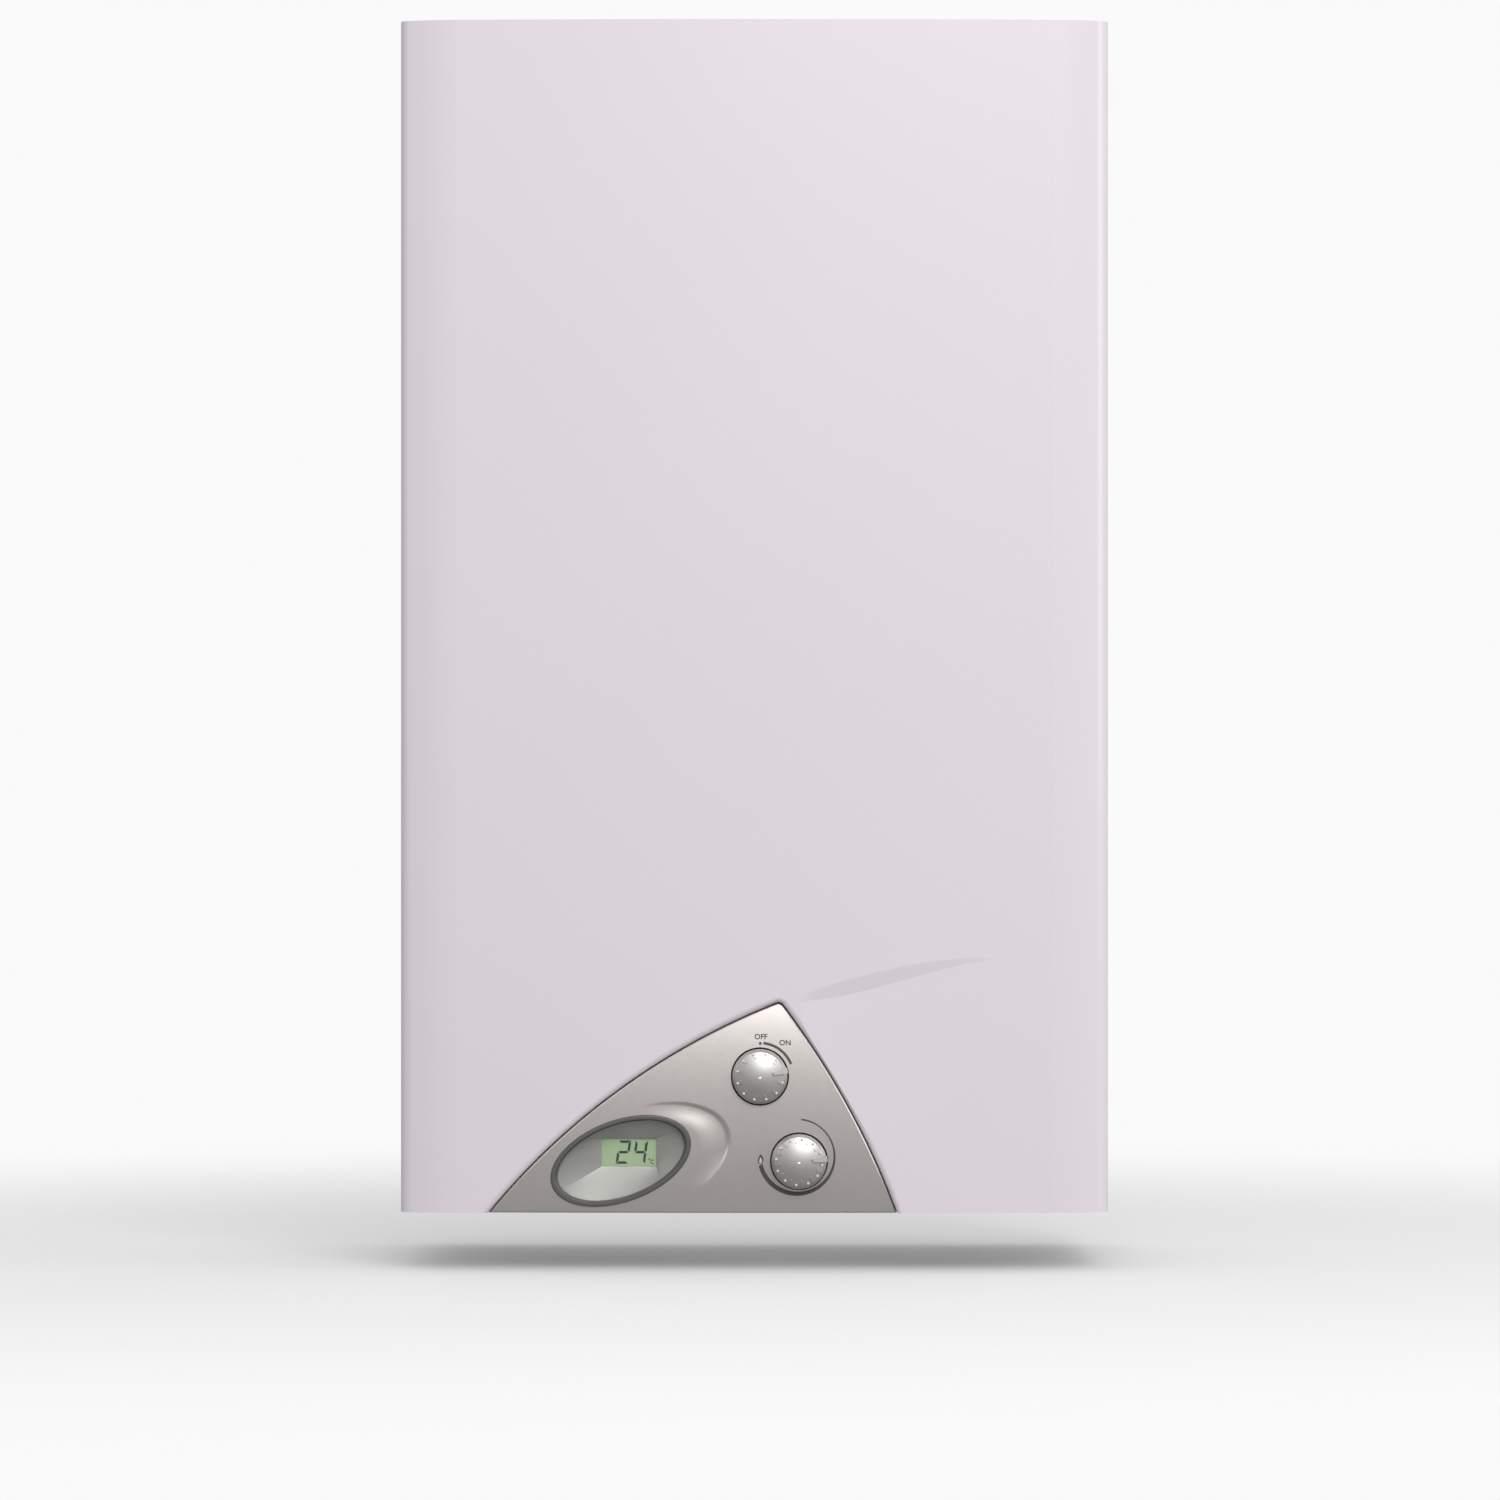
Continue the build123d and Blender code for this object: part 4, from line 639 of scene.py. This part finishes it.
links.new(ringIn.outputs["Head Height"], upVector.inputs["Z"])
links.new(headShape.outputs["Mesh"], lifted.inputs["Geometry"])
links.new(toVector.outputs[0], lifted.inputs["Translation"])
links.new(crownShape.outputs["Mesh"], crownLift.inputs["Geometry"])
links.new(upVector.outputs[0], crownLift.inputs["Translation"])
links.new(lifted.outputs[0], joined.inputs[0])
links.new(crownLift.outputs[0], joined.inputs[0])
links.new(circle.outputs["Mesh"], placed.inputs["Points"])
links.new(joined.outputs[0], placed.inputs["Instance"])
links.new(placed.outputs[0], realized.inputs[0])
links.new(realized.outputs[0], coloured.inputs["Geometry"])
links.new(ringIn.outputs["Surface"], coloured.inputs["Material"])
links.new(coloured.outputs[0], ringOut.inputs[0])


# runs a geometry group on its own and keeps the result as a plain mesh, put in place by a matrix
def runGroup(name, group, values, matrix, surface, body="heater"):
    holder = bpy.data.objects.new(name, bpy.data.meshes.new(name))
    bpy.context.scene.collection.objects.link(holder)
    modifier = holder.modifiers.new("build", "NODES")
    modifier.node_group = group
    keys = {
        item.name: item.identifier
        for item in group.interface.items_tree
        if item.item_type == "SOCKET" and item.in_out == "INPUT"
    }
    for label, value in values.items():
        modifier[keys[label]] = value
    modifier[keys["Surface"]] = materials[surface]
    mesh = plainMesh(holder)
    bpy.data.objects.remove(holder)
    mesh.transform(matrix)
    return newPiece(name, mesh, surface, body)


def facingMatrix(spot, axis):
    turn = Vector((0, 0, 1)).rotation_difference(Vector(axis)).to_matrix().to_4x4()
    return Matrix.Translation(Vector(spot)) @ turn


def middleOf(name):
    low, high = [Vector(c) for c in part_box(name)]
    return low, (low + high) / 2, high


coverFace = middleOf("water_valve_cover")[2].x
valveAxis = middleOf("diaphragm")[1]
collarLow, collarMiddle = middleOf("flue_collar")[:2]
tabHead = {"Count": 3, "Ring Radius": 0.00001, "Head Radius": 0.0038, "Head Height": 0.0018, "Sides": 24}
tabs = dict(x=0.1655, y=-0.0390, height=0.0121)
# a ring needs three places, so a lone screw is three in one place
hardware = {
    "coverBolts": dict(
        values={"Count": 8, "Ring Radius": 0.0305, "Head Radius": 0.0033, "Head Height": 0.0024, "Sides": 6},
        spot=(coverFace - 0.0003, valveAxis.y, valveAxis.z), axis=(1, 0, 0),
        slot="water_valve_cover", surface="zinc",
    ),
    "collarRivets": dict(
        values={"Count": 8, "Ring Radius": 0.0607, "Head Radius": 0.0021, "Head Height": 0.0008, "Sides": 18},
        spot=(collarMiddle.x, collarMiddle.y, collarLow.z + 0.0009), axis=(0, 0, 1),
        slot="flue_collar", surface="steel",
    ),
    "tabScrewLeft": dict(
        values=tabHead, spot=(-tabs["x"], tabs["y"], foot + tabs["height"]), axis=(0, 0, -1),
        slot="back_frame", surface="zinc",
    ),
    "tabScrewRight": dict(
        values=tabHead, spot=(tabs["x"], tabs["y"], foot + tabs["height"]), axis=(0, 0, -1),
        slot="back_frame", surface="zinc",
    ),
}
for name, item in hardware.items():
    matrix = facingMatrix(item["spot"], item["axis"])
    runGroup(name, screwRing, item["values"], matrix, item["surface"])
print("stage: screws and rivets")

# tips on the knobs' twelve marks, in a lighter silver that is painted highlight: it stands in for the glints
# on the marks
knobTips = dict(ring=0.01145, radius=0.0006, height=0.0004, sides=16, lift=0.0001)
tipValues = {
    "Count": 12, "Ring Radius": knobTips["ring"], "Head Radius": knobTips["radius"],
    "Head Height": knobTips["height"], "Sides": knobTips["sides"],
}
knobs = {
    "on_off": dict(x=0.0027, height=0.0679, rest=14.0),
    "flame": dict(x=0.0221, height=0.0258, rest=7.0),
}
for body, knob in knobs.items():
    name = body + "_knob"
    angle = math.radians(knob["rest"] + 90)
    markX = knob["x"] + math.cos(angle) * knobTips["ring"]
    markZ = foot + knob["height"] + math.sin(angle) * knobTips["ring"]
    markY = frontY(surfaceTree(nodes[name].data), markX, markZ) + knobTips["lift"]
    matrix = facingMatrix((knob["x"], markY, foot + knob["height"]), (0, -1, 0))
    matrix = matrix @ Matrix.Rotation(-math.radians(knob["rest"]), 4, "Z")
    runGroup(name + "Tips", screwRing, tipValues, matrix, "paintedGlintSilver", body)
print("stage: knob tips")

# threads on the three connections
threadStack = newGroup(
    "threadStack",
    "GeometryNodeTree",
    [
        ("Turns", "NodeSocketInt", 5),
        ("Pitch", "NodeSocketFloat", 0.0018),
        ("Radius", "NodeSocketFloat", 0.0104),
        ("Ridge", "NodeSocketFloat", 0.0006),
        ("Surface", "NodeSocketMaterial", None),
    ],
    [("Geometry", "NodeSocketGeometry")],
)
threadIn = threadStack.nodes.new("NodeGroupInput")
threadOut = threadStack.nodes.new("NodeGroupOutput")
line = threadStack.nodes.new("GeometryNodeMeshLine")
step = threadStack.nodes.new("ShaderNodeCombineXYZ")
loop = threadStack.nodes.new("GeometryNodeCurvePrimitiveCircle")
loop.inputs["Resolution"].default_value = 40
ridge = threadStack.nodes.new("GeometryNodeCurvePrimitiveCircle")
ridge.inputs["Resolution"].default_value = 6
swept = threadStack.nodes.new("GeometryNodeCurveToMesh")
stacked = threadStack.nodes.new("GeometryNodeInstanceOnPoints")
solid = threadStack.nodes.new("GeometryNodeRealizeInstances")
tinted = threadStack.nodes.new("GeometryNodeSetMaterial")
links = threadStack.links
links.new(threadIn.outputs["Turns"], line.inputs["Count"])
links.new(threadIn.outputs["Pitch"], step.inputs["Z"])
links.new(step.outputs[0], line.inputs["Offset"])
links.new(threadIn.outputs["Radius"], loop.inputs["Radius"])
links.new(threadIn.outputs["Ridge"], ridge.inputs["Radius"])
links.new(loop.outputs["Curve"], swept.inputs["Curve"])
links.new(ridge.outputs["Curve"], swept.inputs["Profile Curve"])
links.new(line.outputs["Mesh"], stacked.inputs["Points"])
links.new(swept.outputs["Mesh"], stacked.inputs["Instance"])
links.new(stacked.outputs[0], solid.inputs[0])
links.new(solid.outputs[0], tinted.inputs["Geometry"])
links.new(threadIn.outputs["Surface"], tinted.inputs["Material"])
links.new(tinted.outputs[0], threadOut.inputs[0])
threads = {"Turns": 5, "Pitch": 0.0018, "Radius": 0.01035, "Ridge": 0.00055}
threadStart = 0.0012
for name in ("gas_inlet", "cold_inlet", "hot_outlet"):
    low, middle = middleOf(name)[:2]
    spot = (middle.x, middle.y, low.z + threadStart)
    runGroup(name + "Thread", threadStack, threads, facingMatrix(spot, (0, 0, 1)), "brass")
print("stage: threads")

# floor, light and camera
stageLook = dict(
    floorDrop=0.029, floorSize=2.6, floorColor=(0.71, 0.71, 0.71), floorThin=0.22,
    fadeFrom=0.42, fadeTo=1.15, fadeCentre=-0.15,  # the floor thins out between these distances
    backdrop=0.955, skyLow=0.30, skyHigh=0.91, skyTilt=(0.3, 0.0, 0.95), skyFrom=-0.45, skyTo=0.6,
)
floorMesh = bpy.data.meshes.new("floor")
half = stageLook["floorSize"]
floorZ = foot - stageLook["floorDrop"]
floorCorners = [(-half, -half, floorZ), (half, -half, floorZ), (half, half, floorZ), (-half, half, floorZ)]
floorMesh.from_pydata(floorCorners, [], [(0, 1, 2, 3)])
floor = bpy.data.objects.new("floor", floorMesh)
bpy.context.scene.collection.objects.link(floor)
floorMaterial = bpy.data.materials.new("paleFloor")
floorMaterial.use_nodes = True
tree = floorMaterial.node_tree
tree.nodes.clear()
out = tree.nodes.new("ShaderNodeOutputMaterial")
matt = tree.nodes.new("ShaderNodeBsdfDiffuse")
matt.inputs["Color"].default_value = (*stageLook["floorColor"], 1)
clear = tree.nodes.new("ShaderNodeBsdfTransparent")
away = tree.nodes.new("ShaderNodeTexCoord")
distance = tree.nodes.new("ShaderNodeVectorMath")
distance.operation = "DISTANCE"
distance.inputs[1].default_value = (0, stageLook["fadeCentre"], floorZ)
fade = tree.nodes.new("ShaderNodeMapRange")
fade.interpolation_type = "SMOOTHSTEP"
fade.inputs["From Min"].default_value = stageLook["fadeFrom"]
fade.inputs["From Max"].default_value = stageLook["fadeTo"]
blend = tree.nodes.new("ShaderNodeMixShader")
tree.links.new(away.outputs["Object"], distance.inputs[0])
tree.links.new(distance.outputs["Value"], fade.inputs["Value"])
fade.inputs["To Min"].default_value = stageLook["floorThin"]
ray = tree.nodes.new("ShaderNodeLightPath")
mirrored = tree.nodes.new("ShaderNodeMath")
mirrored.operation = "MAXIMUM"
side = tree.nodes.new("ShaderNodeNewGeometry")
under = tree.nodes.new("ShaderNodeMath")
under.operation = "MAXIMUM"
bounced = tree.nodes.new("ShaderNodeMath")
bounced.operation = "MAXIMUM"
tree.links.new(ray.outputs["Is Glossy Ray"], mirrored.inputs[0])
tree.links.new(ray.outputs["Is Diffuse Ray"], mirrored.inputs[1])
tree.links.new(mirrored.outputs[0], bounced.inputs[0])
tree.links.new(fade.outputs["Result"], bounced.inputs[1])
tree.links.new(bounced.outputs[0], under.inputs[0])
tree.links.new(side.outputs["Backfacing"], under.inputs[1])
tree.links.new(under.outputs[0], blend.inputs[0])
tree.links.new(matt.outputs[0], blend.inputs[1])
tree.links.new(clear.outputs[0], blend.inputs[2])
tree.links.new(blend.outputs[0], out.inputs["Surface"])
floorMesh.materials.append(floorMaterial)

world = bpy.data.worlds.new("studio")
bpy.context.scene.world = world
world.use_nodes = True
tree = world.node_tree
tree.nodes.clear()
out = tree.nodes.new("ShaderNodeOutputWorld")
glow = tree.nodes.new("ShaderNodeBackground")
glow.inputs["Color"].default_value = (1, 1, 1, 1)
ray = tree.nodes.new("ShaderNodeLightPath")
heading = tree.nodes.new("ShaderNodeTexCoord")
climb = tree.nodes.new("ShaderNodeVectorMath")
climb.operation = "DOT_PRODUCT"
climb.inputs[1].default_value = stageLook["skyTilt"]
sky = tree.nodes.new("ShaderNodeMapRange")
sky.interpolation_type = "SMOOTHSTEP"
sky.inputs["From Min"].default_value = stageLook["skyFrom"]
sky.inputs["From Max"].default_value = stageLook["skyTo"]
sky.inputs["To Min"].default_value = stageLook["skyLow"]
sky.inputs["To Max"].default_value = stageLook["skyHigh"]
level = tree.nodes.new("ShaderNodeMapRange")
level.inputs["To Max"].default_value = stageLook["backdrop"]
tree.links.new(heading.outputs["Generated"], climb.inputs[0])
tree.links.new(climb.outputs["Value"], sky.inputs["Value"])
tree.links.new(sky.outputs["Result"], level.inputs["To Min"])
tree.links.new(ray.outputs["Is Camera Ray"], level.inputs["Value"])
tree.links.new(level.outputs["Result"], glow.inputs["Strength"])
tree.links.new(glow.outputs[0], out.inputs["Surface"])

lamps = {
    "key": dict(spot=(0.5, -2.6, 1.1), aim=(0, -0.1, -0.3), size=1.4, power=40.0),
    "rightSide": dict(spot=(1.6, -0.7, 0.0), aim=(0, -0.1, -0.3), size=0.7, power=3.5),
    "leftSide": dict(spot=(-1.6, -0.7, 0.0), aim=(0, -0.1, -0.3), size=0.7, power=1.6),
}
for name, look in lamps.items():
    light = bpy.data.lights.new(name, "AREA")
    light.shape = "SQUARE"
    light.size = look["size"]
    light.energy = look["power"]
    lamp = bpy.data.objects.new(name, light)
    lamp.location = look["spot"]
    toward = Vector(look["aim"]) - Vector(look["spot"])
    lamp.rotation_euler = toward.to_track_quat("-Z", "Y").to_euler()
    bpy.context.scene.collection.objects.link(lamp)

view = dict(away=3.6, across=0.7434, x=-0.0022, above=0.2297, frontY=-0.205)
cameraData = bpy.data.cameras.new("front")
cameraData.sensor_width = 36
cameraData.lens = 36 * view["away"] / view["across"]
cameraData.clip_end = 50
camera = bpy.data.objects.new("front", cameraData)
camera.location = (view["x"], view["frontY"] - view["away"], foot + view["above"])
camera.rotation_euler = (math.radians(90), 0, 0)
bpy.context.scene.collection.objects.link(camera)
bpy.context.scene.camera = camera
bpy.context.scene.view_settings.view_transform = "Standard"
print("stage: floor, light and camera")
